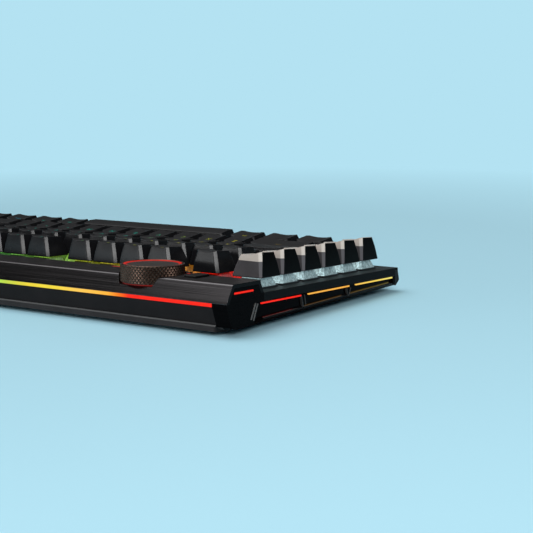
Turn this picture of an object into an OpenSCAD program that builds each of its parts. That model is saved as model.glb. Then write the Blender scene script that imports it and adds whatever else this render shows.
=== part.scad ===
// Full size keyboard with a macro key column, a rear control bar, a control wheel and edge lights.
// Millimetres. Drawn in the deck's own frame, then tilted so that the feet stand on z = 0.

/* [Case] */
// Width of the case, left to right
body_w = 470; // [440:1:500]
// Slope of the key deck in degrees, rear end up
deck_tilt = 2.2; // [0:0.1:6]
// Height of the middle of the deck above the desk
deck_lift = 16.6; // [15:0.1:20]
// Front to rear shift that centres the part on its origin
deck_shift = -0.1; // [-2:0.01:2]
// Height of the tray's underside above the desk
tray_h = 2.2; // [1:0.1:4]
// Height of the side trims' lower edge above the desk
skirt_h = 3.7; // [2:0.1:6]
// Thickness of the tray's walls
tray_wall = 2.5; // [1.5:0.1:4]
// Thickness of the side trims
trim_t = 5.5; // [4:0.1:8]

/* [Deck plate] */
// Thickness of the plate
plate_t = 1.5; // [1:0.1:3]
// Front edge of the plate
plate_front = -79.65; // [-85:0.05:-70]
// Rear edge of the plate, under the bar
plate_rear = 54; // [50:0.5:58]
// Depth of the plate's folded sides
fold_h = 4.2; // [2:0.1:6]

/* [Keys] */
// Distance between key centres
pitch = 19.05; // [18:0.05:20]
// Gap between neighbouring keycaps
cap_gap = 0.95; // [0.5:0.05:2]
// Height of the keycaps' lower edge above the plate
cap_lift = 5.5; // [5:0.1:7]
// Key travel
key_travel = 4; // [2:0.1:4]
// Lean of a keycap's side face
cap_side = 2.8; // [1:0.1:4]
// Lean of a keycap's rear face
cap_rear = 1.3; // [1:0.1:4]
// Lean of a keycap's front face
cap_front = 3.7; // [1:0.1:4]
// Lean of a macro key's rear face
macro_rear = 3.3; // [1:0.1:4]
// Lean of a macro key's front face
macro_front = 1.7; // [1:0.1:4]
// Fall of a macro key's top, from its left edge to its right edge
macro_fall = 2; // [0:0.1:3]
// How much wider than a plain key a macro key is, on its right
macro_wide = 0.8; // [0:0.1:2]
// Wall thickness of a keycap
cap_wall = 1.5; // [1:0.1:2]
// Roof thickness of a keycap
cap_roof = 1.6; // [1.2:0.1:3]
// Depth of the finger dish
dish = 0.5; // [0.2:0.1:1]
// Middle of the function row
row1_y = 32.2; // [30:0.05:38]
// Middle of the first macro key
macro1_y = 34.2; // [30:0.05:38]
// Extra gap between the function row and the rows in front of it
row_gap = 2; // [0:0.1:3]
// Keycap height, function row
cap_h1 = 11.7; // [6:0.1:14]
// Keycap height, number row
cap_h2 = 11.9; // [6:0.1:14]
// Keycap height, upper letter row
cap_h3 = 9; // [6:0.1:14]
// Keycap height, home row
cap_h4 = 8.4; // [6:0.1:14]
// Keycap height, lower letter row
cap_h5 = 7.4; // [6:0.1:14]
// Keycap height, bottom row
cap_h6 = 8.6; // [6:0.1:14]
// Keycap height, macro keys
cap_h7 = 13; // [8:0.1:15]

/* [Control bar] */
// Foot of the bar's front face
bar_foot = 50.2; // [48:0.1:54]
// Upper front edge of the bar
bar_front = 53.4; // [50:0.1:58]
// Crease between the bar's top and its rear slope
bar_crease = 75.3; // [70:0.1:78]
// Lower edge of the rear slope
bar_rear = 80.6; // [78:0.1:84]
// Height of the bar's top above the plate
bar_top = 6.5; // [4:0.1:9]
// Level of the rear slope's lower edge
slope_low = -2.9; // [-5:0.1:0]
// Height of the rear light strip
strip_h = 1.8; // [1:0.1:3]
// Level of the rear panel's lower edge
panel_low = -13.8; // [-16:0.1:-12]
// Rear panel's lower edge, front to rear
panel_foot = 76.65; // [74:0.05:80]
// Level of the end caps' lower rear corner
corner_low = -14.7; // [-16:0.1:-12]
// How far the base's lip stands out under the rear panel
lip_out = 0.65; // [0.3:0.05:1.5]
// Radius of the rolled edge between the bar's top and its rear slope
crease_r = 1.5; // [0.5:0.1:3]
// Sheet thickness of the bar's cover
cover_t = 2; // [1:0.1:3]
// Length of an end cap along the bar
cap_wrap = 9; // [6:0.5:15]

/* [Control wheel] */
// Middle of the wheel, left to right
wheel_x = -175.85; // [-190:0.05:-150]
// Middle of the wheel, front to rear
wheel_y = 64.65; // [60:0.05:68]
// Outer radius of the wheel
wheel_r = 16.6; // [14:0.1:18]
// Level of the wheel's top
wheel_top = 11.7; // [9:0.1:14]
// Level of the wheel's underside
wheel_low = 2.5; // [1.8:0.1:5]
// Radius of the wheel's shaft
shaft_r = 4.1; // [3:0.1:5]

/* [Volume roller] */
// Middle of the roller, left to right
roller_x = 204; // [190:0.5:212]
// Radius of the roller
roller_r = 8; // [6:0.1:9]
// Length of the roller
roller_l = 16; // [12:0.5:20]

/* [Tilt feet] */
// Middle of a tilt foot, left to right
foot_x = 185; // [150:1:205]
// Width of a tilt foot
foot_w = 34; // [20:1:44]
// Length of a tilt foot
foot_l = 22; // [16:0.5:28]

/* [Part] */
// Piece to draw

/* [Hidden] */
$fn = 48;
half_w = body_w / 2;
tray_half = half_w - trim_t;
cap_in = half_w - 4;
strip_half = half_w - cap_wrap;
pan_half = tray_half - 1.2;
board_z = -5;
board_t = 1.6;
bar_board_z = -0.9;
housing_top = 6.6;
boss_z = 7;
cross_z = 10.5;
well_r = wheel_r + 0.5;
well_z = wheel_low - 1.1;
slope_lean = (bar_rear - bar_crease) / (slope_low - bar_top);
front_lean = (bar_front - bar_foot) / bar_top;
panel_top = slope_low - strip_h;
panel_lean = (panel_foot - bar_rear + 0.4) / (panel_low - panel_top);
corner_foot = panel_foot + panel_lean * (corner_low - panel_low);
lip_y = panel_foot + lip_out;
lip_z = panel_low - 0.6;
roller_y = 64;
roller_z = 2;
pivot_y = 66;
pivot_z = 4.4;
gland_z = 10.4;
cap_heights = [cap_h1, cap_h2, cap_h3, cap_h4, cap_h5, cap_h6, cap_h7];
cap_drops = [0.9, 0.9, 1.1, 0.5, -1.9, -1.8, 0.7];

// Keys of a run that starts at s, in pitches: middle, width, depth
function run(s, w) = [for (i = 0, x = s; i < len(w); x = x + w[i], i = i + 1) [x + w[i] / 2, w[i], 1]];
function ones(n) = [for (i = [1:n]) 1];
function row_keys(r) =
  r == 0 ? concat(run(-10.5, [1]), run(-10.5 + 5 / 3, ones(4)), run(-10.5 + 19 / 3, ones(4)),
    run(0.5, ones(4)), run(4.75, ones(3))) :
  r == 1 ? concat(run(-10.5, concat(ones(13), [2])), run(4.75, ones(3)), run(8, ones(4))) :
  r == 2 ? concat(run(-10.5, concat([1.5], ones(12), [1.5])), run(4.75, ones(3)), run(8, ones(3)),
    [[11.5, 1, 2]]) :
  r == 3 ? concat(run(-10.5, concat([1.75], ones(11), [2.25])), run(8, ones(3))) :
  r == 4 ? concat(run(-10.5, concat([2.25], ones(10), [2.75])), run(5.75, [1]), run(8, ones(3)),
    [[11.5, 1, 2]]) :
  concat(run(-10.5, [1.25, 1.25, 1.25, 6.25, 1.25, 1.25, 1.25, 1.25]), run(4.75, ones(3)),
    run(8, [2, 1]));
function macro_y(r) = macro1_y - r * pitch;
function row_y(r) = row1_y - r * pitch - (r > 0 ? row_gap : 0);
function stab(w) = w > 6 ? 50 : 11.94;
// Level in the deck's frame of a point h above the desk
function under(y, h) = (h - deck_lift - y * sin(deck_tilt)) / cos(deck_tilt);

module on_deck() {
  translate([0, deck_shift, deck_lift])
    rotate([deck_tilt, 0, 0])
      children();
}

// Flat outline in y and z, drawn out along x
module along_x(x0, x1) {
  translate([x0, 0, 0])
    rotate([90, 0, 90])
      linear_extrude(x1 - x0)
        children();
}

// Outline with corner i rounded to radius r[i], each by n + 1 points of an arc
function soft(p, r, n = 4) = [for (i = [0:len(p) - 1])
  let (b = p[i], a = p[(i + len(p) - 1) % len(p)] - b, c = p[(i + 1) % len(p)] - b,
    u = a / norm(a), v = c / norm(c), half = acos(u * v) / 2, turn = 180 - 2 * half)
  each r[i] <= 0 ? [b] :
    let (o = b + (u + v) / norm(u + v) * r[i] / sin(half), s = (b + u * r[i] / tan(half) - o) / sin(turn),
      e = (b + v * r[i] / tan(half) - o) / sin(turn))
    [for (k = [0:n]) o + s * sin((1 - k / n) * turn) + e * sin(k / n * turn)]];

// Flat outline in x and z, drawn out along y
module along_y(y0, y1) {
  translate([0, y1, 0])
    rotate([90, 0, 0])
      linear_extrude(y1 - y0)
        children();
}

module box(x0, x1, y0, y1, z0, z1) {
  translate([x0, y0, z0])
    cube([x1 - x0, y1 - y0, z1 - z0]);
}

module post(x, y, z0, z1, r) {
  translate([x, y, z0])
    cylinder(h = z1 - z0, r = r);
}

module both_sides() {
  children();
  mirror([1, 0, 0])
    children();
}

// Block with leaning sides: w0 by d0 below, top narrower, rear and front heights apart
module tapered(w0, d0, side, rear, front, h_rear, h_front, fall = 0) {
  h = max(h_rear, h_front);
  intersection() {
    along_y(-d0 / 2, d0 / 2)
      polygon([[-w0 / 2, 0], [w0 / 2, 0], [w0 / 2 - side, h - fall], [-w0 / 2 + side, h]]);
    along_x(-w0 / 2, w0 / 2)
      polygon([[-d0 / 2, 0], [d0 / 2, 0], [d0 / 2 - rear, h_rear], [-d0 / 2 + front, h_front]]);
  }
}

module at_keys(r) {
  for (k = row_keys(r))
    let ($w = k[1], $d = k[2])
      translate([k[0] * pitch, row_y(r) - ($d - 1) / 2 * pitch, 0])
        children();
}

module at_macros() {
  for (r = [0:5])
    let ($w = 1, $d = 1)
      translate([-11.5 * pitch, macro_y(r), 0])
        children();
}

module at_all_keys() {
  at_macros()
    children();
  for (r = [0:5])
    at_keys(r)
      children();
}

// Both ends of a wide or tall key
module at_stabs() {
  if ($w >= 2)
    for (s = [-1, 1])
      translate([s * stab($w), 0, 0])
        children();
  if ($d >= 2)
    for (s = [-1, 1])
      rotate([0, 0, 90])
        translate([s * stab($d), 0, 0])
          children();
}

module cross_slot(grow, z0, z1) {
  box(-2 - grow, 2 + grow, -0.6 - grow, 0.6 + grow, z0, z1);
  box(-0.65 - grow, 0.65 + grow, -2 - grow, 2 + grow, z0, z1);
}

// Keycap with hollow, finger dish and cross sockets, at rest above the plate
module keycap(r) {
  h = cap_heights[r];
  drop = cap_drops[r];
  wider = r == 6 ? macro_wide : 0;
  fall = r == 6 ? macro_fall : 0;
  w0 = $w * pitch - cap_gap + wider;
  d0 = $d * pitch - cap_gap;
  side = cap_side;
  rear = r == 6 ? macro_rear : cap_rear;
  front = r == 6 ? macro_front : cap_front;
  wide = w0 - 2 * side;
  dish_r = (wide * wide / 4 + dish * dish) / (2 * dish);
  lean = atan(drop / (d0 - rear - front));
  mid = h - drop / 2 - fall / 2;
  translate([0, 0, cap_lift])
    difference() {
      union() {
        translate([wider / 2, 0, 0])
          difference() {
            tapered(w0, d0, side, rear, front, h, h - drop, fall);
            translate([0, 0, -0.01])
              tapered(w0 - 2 * cap_wall, d0 - 2 * cap_wall, side * 0.7, rear * 0.7, front * 0.7,
                h - cap_roof, h - drop - cap_roof, fall);
          }
        post(0, 0, boss_z - cap_lift, mid - 1.1 - fall / 5, 2.7);
        at_stabs()
          post(0, 0, boss_z - cap_lift, mid - 1.1, 2.7);
      }
      if ($w < 2)
        translate([wider / 2, (front - rear) / 2, mid])
          rotate([lean, atan(fall / wide), 0])
            translate([0, 0, dish_r - dish])
              rotate([90, 0, 0])
                cylinder(h = 3 * d0, r = dish_r, center = true);
      cross_slot(0.05, 0, cross_z - cap_lift + 0.2);
      at_stabs()
        cross_slot(0.05, 0, cross_z - cap_lift + 0.2);
    }
}

// Switch slider with its cross, and the sliders under the ends of a wide key
module stem() {
  box(-3.6, 3.6, -2.8, 2.8, 0.65, 6.9);
  cross_slot(0, 6.8, cross_z);
  at_stabs() {
    box(-2, 2, -3, 3, 0.2, 6.9);
    cross_slot(0, 6.8, cross_z);
  }
}

module switch_base() {
  difference() {
    union() {
      box(-6.95, 6.95, -6.95, 6.95, board_z, 0.4);
      box(-7.8, 7.8, -7.8, 7.8, 0, 0.8);
    }
    box(-4.2, 4.2, -3.4, 3.4, board_z + 0.8, 1);
    box(-2, 2, 3, 6.4, board_z - 1, 1);
  }
}

module switch_cover() {
  translate([0, 0, 0.8])
    difference() {
      tapered(15, 15, 2.3, 2.4, 2.4, housing_top - 0.8, housing_top - 0.8);
      translate([0, 0, -0.01])
        tapered(12.6, 12.6, 1.9, 1.9, 1.9, housing_top - 2, housing_top - 2);
      box(-3.95, 3.95, -3.15, 3.15, 1, 8);
    }
}

module stabiliser_clip() {
  difference() {
    box(-3.5, 3.5, -5.5, 5.5, board_z, 3);
    box(-2.5, 2.5, -4, 4, board_z + 0.8, 4);
  }
}

module wire_of(half) {
  translate([0, -9.2, -2.6])
    rotate([0, 90, 0])
      cylinder(h = 2 * half + 9, r = 0.7, center = true);
  for (s = [-1, 1])
    translate([s * (half + 4.5), -9.2, -2.6])
      rotate([-90, 0, 0])
        cylinder(h = 9.2, r = 0.7);
}

module base_tray() {
  floor_h = skirt_h + 2.2;
  color([0.06, 0.06, 0.065])
    difference() {
      on_deck()
        difference() {
        union() {
          along_x(-tray_half, tray_half)
            polygon([[-77, -plate_t], [plate_rear, -plate_t], [plate_rear, -8], [73.4, corner_low - 0.1],
              [corner_foot - 0.2, corner_low - 0.1], [corner_foot - 1, corner_low - 1.1],
              [-77, under(-77, skirt_h)]]);
          intersection() {
            along_x(-pan_half, pan_half)
              polygon(soft([[-73, under(-73, skirt_h + 1)], [73, corner_low - 0.1],
                [corner_foot, corner_low - 0.1], [lip_y, lip_z], [lip_y - 0.3, under(lip_y - 0.3, tray_h)],
                [-70, under(-70, tray_h)]], [0, 0, 0, 0.2, 0.5, 0], 3));
            translate([0, 0, -40])
              linear_extrude(60)
                offset(r = 6)
                  translate([-pan_half + 6, -80])
                    square([2 * pan_half - 12, lip_y + 74]);
          }
          along_x(-strip_half + 0.1, strip_half - 0.1)
            polygon(soft([[73.4, corner_low - 0.3], [73.4, panel_low - 0.1],
              [panel_foot - 0.05, panel_low - 0.1], [lip_y, lip_z], [lip_y - 0.05, lip_z - 0.6]],
              [0, 0, 0, 0.2, 0], 3));
          along_x(-half_w, half_w)
            polygon(soft([[-77, -plate_t], [plate_front, -plate_t], [-81.25, -7.1],
              [-77.75, under(-77, skirt_h)], [-77, under(-77, skirt_h)]], [0, 0, 1, 0.5, 0], 3));
        }
        difference() {
          union() {
            along_x(-tray_half + tray_wall, tray_half - tray_wall)
              polygon([[-75.6, 5], [71, 5], [71, under(71, floor_h)], [-75.6, under(-75.6, floor_h)]]);
            along_x(-pan_half + tray_wall, pan_half - tray_wall)
              polygon([[-66, under(-66, 7)], [71, under(71, 7)], [71, under(71, tray_h + tray_wall)],
                [-66, under(-66, tray_h + tray_wall)]]);
          }
          at_screws()
            post(0, 0, under($y, tray_h) - 1, -plate_t, 4);
          for (x = [-210, -110, 0, 110, 175])
            box(x - 1, x + 1, 57, 72, under(65, 3), bar_board_z - board_t);
          both_sides()
            along_x(foot_x - foot_w / 2 - 4.5, foot_x + foot_w / 2 + 4.5)
              polygon([[pivot_y - foot_l - 4, under(pivot_y - foot_l - 4, 9.4)], [72, under(72, 9.4)],
                [72, under(72, 3)], [pivot_y - foot_l - 4, under(pivot_y - foot_l - 4, 3)]]);
        }
        at_screws() {
          post(0, 0, under($y, tray_h) - 2, 2, 1.5);
          post(0, 0, under($y, tray_h) - 2, under($y, tray_h) + 2.6, 2.9);
        }
      }
      both_sides()
        translate([0, deck_shift, 0]) {
          box(foot_x - foot_w / 2 - 0.5, foot_x + foot_w / 2 + 0.5, pivot_y - foot_l - 2, pivot_y + 4,
            0, 7.2);
          translate([foot_x, pivot_y, pivot_z])
            rotate([0, 90, 0])
              cylinder(h = foot_w + 6, r = 1.58, center = true);
        }
    }
}

module at_screws() {
  for (x = [-10.75 * pitch, 4.625 * pitch, 7.875 * pitch])
    for (y = [25, -45])
      let ($y = y)
        translate([x, y, 0])
          children();
}

module deck_plate() {
  color([0.11, 0.11, 0.12])
    on_deck()
      difference() {
        union() {
          box(-half_w, half_w, plate_front, bar_foot - 0.2, -plate_t, 0);
          box(-half_w + 1.5, half_w - 1.5, bar_foot - 1, plate_rear, -plate_t, 0);
          both_sides()
            box(half_w - 1.5, half_w, -77, bar_foot - 0.2, -fold_h, -0.5);
        }
        at_all_keys() {
          box(-7, 7, -7, 7, -3, 1);
          at_stabs()
            box(-3.55, 3.55, -5.55, 5.55, -3, 1);
        }
        for (i = [0:3])
          translate([(8.5 + i) * pitch, row1_y, 0])
            box(-3.2, 3.2, -2.2, 2.2, -3, 1);
        at_screws()
          post(0, 0, -3, 1, 1.5);
      }
}

module bar_cover() {
  front_in = cover_t * sqrt(1 + front_lean * front_lean);
  slope_in = cover_t * sqrt(1 + slope_lean * slope_lean);
  top_in = bar_top - cover_t;
  color([0.12, 0.12, 0.13])
    on_deck()
      difference() {
        union() {
          along_x(-half_w, half_w)
            polygon(soft([[bar_foot, 0], [bar_front, bar_top], [bar_crease, bar_top], [bar_rear, slope_low],
              [bar_rear - slope_in, slope_low],
              [bar_crease - slope_in + slope_lean * (top_in - bar_top), top_in],
              [bar_foot + front_in + front_lean * top_in, top_in], [bar_foot + front_in, 0]],
              [0, 0.8, crease_r, 0.3, 0, 0, 0, 0]));
          difference() {
            post(wheel_x, wheel_y, 0, bar_top, well_r + 1.5);
            box(wheel_x - 30, wheel_x + 30, bar_foot + 4, wheel_y + 30, -1, 20);
          }
        }
        post(wheel_x, wheel_y, well_z, 20, well_r);
        post(wheel_x, wheel_y, -1, 20, 10.8);
        box(roller_x - roller_l / 2 - 0.5, roller_x + roller_l / 2 + 0.5, roller_y - 7.6,
          roller_y + 7.6, 0, 20);
        box(-207, -198, 56, 68.2, 0, 20);
        box(wheel_x - 20.65, wheel_x + 35.85, 54.7, 56.1, 0, 20);
      }
}

module rear_panel() {
  color([0.07, 0.07, 0.075])
    difference() {
      on_deck()
        along_x(-strip_half, strip_half)
          polygon([[bar_rear - 0.4, panel_top], [panel_foot, panel_low], [panel_foot - 2.7, panel_low],
            [bar_rear - 3.1, panel_top]]);
      translate([0, 90, gland_z])
        rotate([90, 0, 0])
          cylinder(h = 30, r = 4.05);
    }
}

module end_caps() {
  gap = 0.1;
  top = bar_top - cover_t - gap;
  front_in = bar_foot + (cover_t + gap) * sqrt(1 + front_lean * front_lean);
  slope_in = (cover_t + gap) * sqrt(1 + slope_lean * slope_lean);
  color([0.02, 0.02, 0.02])
    on_deck()
      both_sides()
        difference() {
          union() {
            along_x(cap_in, half_w)
              polygon([[bar_foot, 0], [front_in, 0], [front_in + front_lean * top, top],
                [bar_rear - slope_in + slope_lean * (top - slope_low), top], [bar_rear - slope_in, slope_low],
                [bar_rear - 0.2, slope_low], [bar_rear - 0.4, panel_top], [corner_foot, corner_low],
                [72.8, under(72.8, skirt_h)], [58.4, under(58.4, skirt_h)], [53.1, -fold_h],
                [bar_foot, -fold_h]]);
            along_x(strip_half, cap_in)
              polygon([[bar_rear - 0.2, slope_low], [bar_rear - 0.4, panel_top], [corner_foot, corner_low],
                [corner_foot - 2.7, corner_low], [bar_rear - 3.1, panel_top], [bar_rear - 2.5, slope_low]]);
          }
          box(half_w - 1, half_w + 1, 58.4, 74.3, 1.4, 2.5);
          box(cap_in - 1, half_w - 1.4, bar_foot - 2, plate_rear + 0.1, -plate_t - 0.1, 0);
        }
}

// One side's trim: a section that keeps level with the deck above and with the desk below
module side_trim() {
  x0 = tray_half;
  x1 = half_w - 1.4;
  y0 = -77;
  function rear_at(z) = 52.8 + (-fold_h - z) * 0.47;
  function sec(low) = [[x0, -fold_h], [half_w, -fold_h], [half_w, -4.7], [x1, -4.7], [x1, low + 2.8],
    [half_w, low + 1.4], [half_w - 0.8, low], [x0, low]];
  low_f = under(y0, skirt_h);
  low_r = under(57.9, skirt_h);
  pts = concat([for (p = sec(low_f)) [p[0], y0, p[1]]], [for (p = sec(low_r)) [p[0], rear_at(p[1]), p[1]]]);
  n = 8;
  polyhedron(pts, concat([[for (i = [0:n - 1]) i]], [[for (i = [0:n - 1]) 2 * n - 1 - i]],
    [for (i = [0:n - 1]) [i, i + n, (i + 1) % n + n, (i + 1) % n]]));
  for (y = [14.45, -31.5])
    box(x1 - 0.5, half_w, y - 2.4, y + 2.4, under(y, skirt_h + 2), -4.5);
  box(x1 - 0.5, half_w, y0, y0 + 2.6, under(y0, skirt_h + 2), -4.5);
}

module side_trims() {
  color([0.03, 0.03, 0.03])
    on_deck()
      both_sides()
        side_trim();
}

module rear_light() {
  color([1, 0.25, 0.1])
    on_deck()
      along_x(-strip_half, strip_half)
        polygon([[bar_rear - 0.4, slope_low], [bar_rear - 0.5, panel_top], [bar_rear - 3.1, panel_top],
          [bar_rear - 2.6, slope_low]]);
}

module edge_lights() {
  color([1, 0.6, 0.2])
    on_deck()
      both_sides() {
        for (s = [[51.3, 17], [10, -29], [-35.9, -74.2]])
          box(half_w - 1.4, half_w - 0.2, s[1], s[0], -5.65, -4.85);
        box(half_w - 1, half_w - 0.1, 58.5, 74.2, 1.5, 2.4);
      }
}

module status_light() {
  color([0.9, 0.1, 0.1])
    on_deck()
      difference() {
        box(wheel_x - 20.6, wheel_x + 35.8, 54.75, 56.05, bar_top - cover_t, bar_top);
        post(wheel_x, wheel_y, 0, 20, well_r + 0.5);
      }
}

module wheel_light_ring() {
  color([0.9, 0.1, 0.1])
    on_deck()
      translate([wheel_x, wheel_y, 0])
        rotate_extrude()
          polygon([[9.2, bar_board_z], [10.2, bar_board_z], [10.2, wheel_low - 0.65],
            [wheel_r - 1.3, wheel_low - 0.65], [wheel_r - 1.3, wheel_low - 0.3], [9.2, wheel_low - 0.3]]);
}

module main_board() {
  color([0.05, 0.2, 0.1])
    on_deck()
      difference() {
        box(-12 * pitch + 2.4, 12 * pitch - 2.4, row_y(5) - 8, macro1_y + 9, board_z - board_t, board_z);
        at_screws()
          post(0, 0, -9, 0, 4.3);
      }
}

module bar_board() {
  color([0.05, 0.2, 0.1])
    on_deck()
      difference() {
        box(-222, 222, 55, 73, bar_board_z - board_t, bar_board_z);
        box(roller_x - 12.5, roller_x + 12.5, roller_y - 8.6, roller_y + 8.6, -9, 9);
      }
}

module board_chips() {
  color([0.03, 0.03, 0.035])
    on_deck() {
      box(-40, -28, 58, 70, bar_board_z, bar_board_z + 1.2);
      box(-10, -3, 60, 67, bar_board_z, bar_board_z + 1);
      box(20, 24, 58, 69, bar_board_z, bar_board_z + 1.4);
    }
}

module switch_bases() {
  color([0.2, 0.21, 0.22])
    on_deck()
      at_all_keys()
        switch_base();
}

module switch_covers() {
  color([0.75, 0.85, 0.88])
    on_deck()
      at_all_keys()
        switch_cover();
}

module return_springs() {
  color([0.6, 0.6, 0.6])
    on_deck()
      at_all_keys()
        difference() {
          post(0, 0, board_z + 0.8, 0.6, 2.2);
          post(0, 0, board_z, 2, 1.8);
        }
}

module key_leds() {
  color([0.9, 0.9, 0.85])
    on_deck()
      at_all_keys()
        box(-1.6, 1.6, 3.6, 6, board_z, board_z + 1.4);
}

module stabiliser_clips() {
  color([0.1, 0.1, 0.1])
    on_deck()
      at_all_keys()
        at_stabs()
          stabiliser_clip();
}

module stabiliser_wires() {
  color([0.7, 0.7, 0.7])
    on_deck()
      at_all_keys() {
        if ($w >= 2)
          wire_of(stab($w));
        if ($d >= 2)
          rotate([0, 0, -90])
            wire_of(stab($d));
      }
}

module wheel_encoder() {
  color([0.3, 0.3, 0.32])
    on_deck()
      translate([wheel_x, wheel_y, 0])
        difference() {
          union() {
            box(-6, 6, -6, 6, bar_board_z, 1.4);
            post(0, 0, 0, 7, shaft_r);
          }
          post(0, 0, 0.4, 9, 2.6);
        }
}

module roller_bracket() {
  color([0.15, 0.15, 0.16])
    on_deck()
      translate([roller_x, roller_y, 0])
        difference() {
          union()
            for (s = [-1, 1]) {
              box(s * 10 - 1, s * 10 + 1, -4, 4, bar_board_z - board_t - 4, 4.4);
              box(s * 12.5 - 3.5, s * 12.5 + 3.5, -3, 3, bar_board_z - board_t - 2, bar_board_z - board_t);
            }
          translate([0, 0, roller_z])
            rotate([0, 90, 0])
              cylinder(h = 40, r = 1.55, center = true);
        }
}

module tact_switches() {
  color([0.1, 0.1, 0.1])
    on_deck() {
      for (i = [0:3])
        translate([(8.5 + i) * pitch, row1_y, 0])
          box(-3, 3, -3, 3, board_z, board_z + 1.5);
      box(-205.5, -199.5, 59, 65, bar_board_z, bar_board_z + 1.5);
      box(wheel_x - 2, wheel_x + 2, wheel_y - 2, wheel_y + 2, bar_board_z - 3, bar_board_z - board_t);
    }
}

module case_screws() {
  color([0.4, 0.4, 0.42])
    on_deck()
      at_screws() {
        post(0, 0, under($y, tray_h) + 0.8, under($y, tray_h) + 2.6, 2.8);
        post(0, 0, under($y, tray_h) + 0.8, -0.2, 1.45);
      }
}

module rubber_feet() {
  color([0.02, 0.02, 0.02])
    for (x = [-120, 120])
      for (y = [-62, 60]) {
        box(x - 16, x + 16, y - 5, y + 5, 0, tray_h);
        post(x - 16, y, 0, tray_h, 5);
        post(x + 16, y, 0, tray_h, 5);
      }
}

module cable_gland() {
  color([0.03, 0.03, 0.03])
    translate([0, 80.2, gland_z])
      rotate([90, 0, 0])
        difference() {
          cylinder(h = 8, r = 4);
          translate([0, 0, -1])
            cylinder(h = 12, r = 2.6);
        }
}

module row_caps(r) {
  color([0.07, 0.07, 0.075])
    on_deck()
      at_keys(r)
        keycap(r);
}

module row_stems(r) {
  color([0.6, 0.55, 0.5])
    on_deck()
      at_keys(r)
        stem();
}

module macro_cap(i) {
  color([0.5, 0.48, 0.45])
    on_deck()
      translate([-11.5 * pitch, macro_y(i - 1), 0])
        let ($w = 1, $d = 1)
          keycap(6);
}

module macro_stem(i) {
  color([0.6, 0.55, 0.5])
    on_deck()
      translate([-11.5 * pitch, macro_y(i - 1), 0])
        let ($w = 1, $d = 1)
          stem();
}

module wheel_rim() {
  color([0.2, 0.18, 0.16])
    on_deck()
      translate([wheel_x, wheel_y, 0])
        rotate_extrude()
          polygon([[shaft_r + 0.06, wheel_low], [wheel_r - 0.5, wheel_low], [wheel_r, wheel_low + 0.5],
            [wheel_r, wheel_top - 0.4], [wheel_r - 0.4, wheel_top], [15, wheel_top], [15, 4.3], [7, 4.3],
            [7, 6], [shaft_r + 0.06, 6]]);
}

module wheel_glow_ring() {
  color([0.9, 0.15, 0.12])
    on_deck()
      translate([wheel_x, wheel_y, 0])
        rotate_extrude()
          polygon([[14, 4.35], [14.95, 4.35], [14.95, wheel_top - 0.2], [14, wheel_top - 0.2]]);
}

module wheel_button() {
  color([0.06, 0.06, 0.06])
    on_deck()
      translate([wheel_x, wheel_y, 0])
        rotate_extrude()
          polygon([[0, 1.6], [2.45, 1.6], [2.45, 8.2], [13.6, 8.2], [13.6, wheel_top - 0.75],
            [13, wheel_top - 0.55], [9, wheel_top - 1.25], [4, wheel_top - 1.65], [0, wheel_top - 1.75]]);
}

module volume_roller() {
  color([0.3, 0.3, 0.32])
    on_deck()
      translate([roller_x, roller_y, roller_z])
        rotate([0, 90, 0]) {
          cylinder(h = roller_l, r = roller_r, center = true);
          cylinder(h = 22, r = 1.5, center = true);
        }
}

module media_key(i) {
  color([0.07, 0.07, 0.075])
    on_deck()
      translate([(7.5 + i) * pitch, row1_y, 0]) {
        box(-8.6, 8.6, -5, 5, 1.6, 4.6);
        box(-2.8, 2.8, -1.8, 1.8, -2.4, 2);
      }
}

module profile_button() {
  color([0.03, 0.03, 0.03])
    on_deck() {
      box(-206.6, -198.4, 56.4, 67.8, 4.5, bar_top + 1.2);
      box(-204, -201, 60.6, 63.6, 1.6, 5);
    }
}

// Flip-out foot, folded forward into its pocket
module tilt_foot() {
  color([0.05, 0.05, 0.05])
    translate([0, deck_shift, 0]) {
      translate([foot_x, pivot_y, pivot_z])
        rotate([0, 90, 0]) {
          cylinder(h = foot_w + 5, r = 1.5, center = true);
          cylinder(h = foot_w, r = 2.6, center = true);
        }
      box(foot_x - foot_w / 2, foot_x + foot_w / 2, pivot_y - foot_l, pivot_y, 2.2, 6);
    }
}

module left_tilt_foot() {
  mirror([1, 0, 0])
    tilt_foot();
}

module right_tilt_foot() {
  tilt_foot();
}

module function_caps() { row_caps(0); }
module function_stems() { row_stems(0); }
module number_caps() { row_caps(1); }
module number_stems() { row_stems(1); }
module upper_caps() { row_caps(2); }
module upper_stems() { row_stems(2); }
module home_caps() { row_caps(3); }
module home_stems() { row_stems(3); }
module lower_caps() { row_caps(4); }
module lower_stems() { row_stems(4); }
module bottom_caps() { row_caps(5); }
module bottom_stems() { row_stems(5); }
module macro_cap_1() { macro_cap(1); }
module macro_stem_1() { macro_stem(1); }
module macro_cap_2() { macro_cap(2); }
module macro_stem_2() { macro_stem(2); }
module macro_cap_3() { macro_cap(3); }
module macro_stem_3() { macro_stem(3); }
module macro_cap_4() { macro_cap(4); }
module macro_stem_4() { macro_stem(4); }
module macro_cap_5() { macro_cap(5); }
module macro_stem_5() { macro_stem(5); }
module macro_cap_6() { macro_cap(6); }
module macro_stem_6() { macro_stem(6); }
module media_key_1() { media_key(1); }
module media_key_2() { media_key(2); }
module media_key_3() { media_key(3); }
module media_key_4() { media_key(4); }

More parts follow.
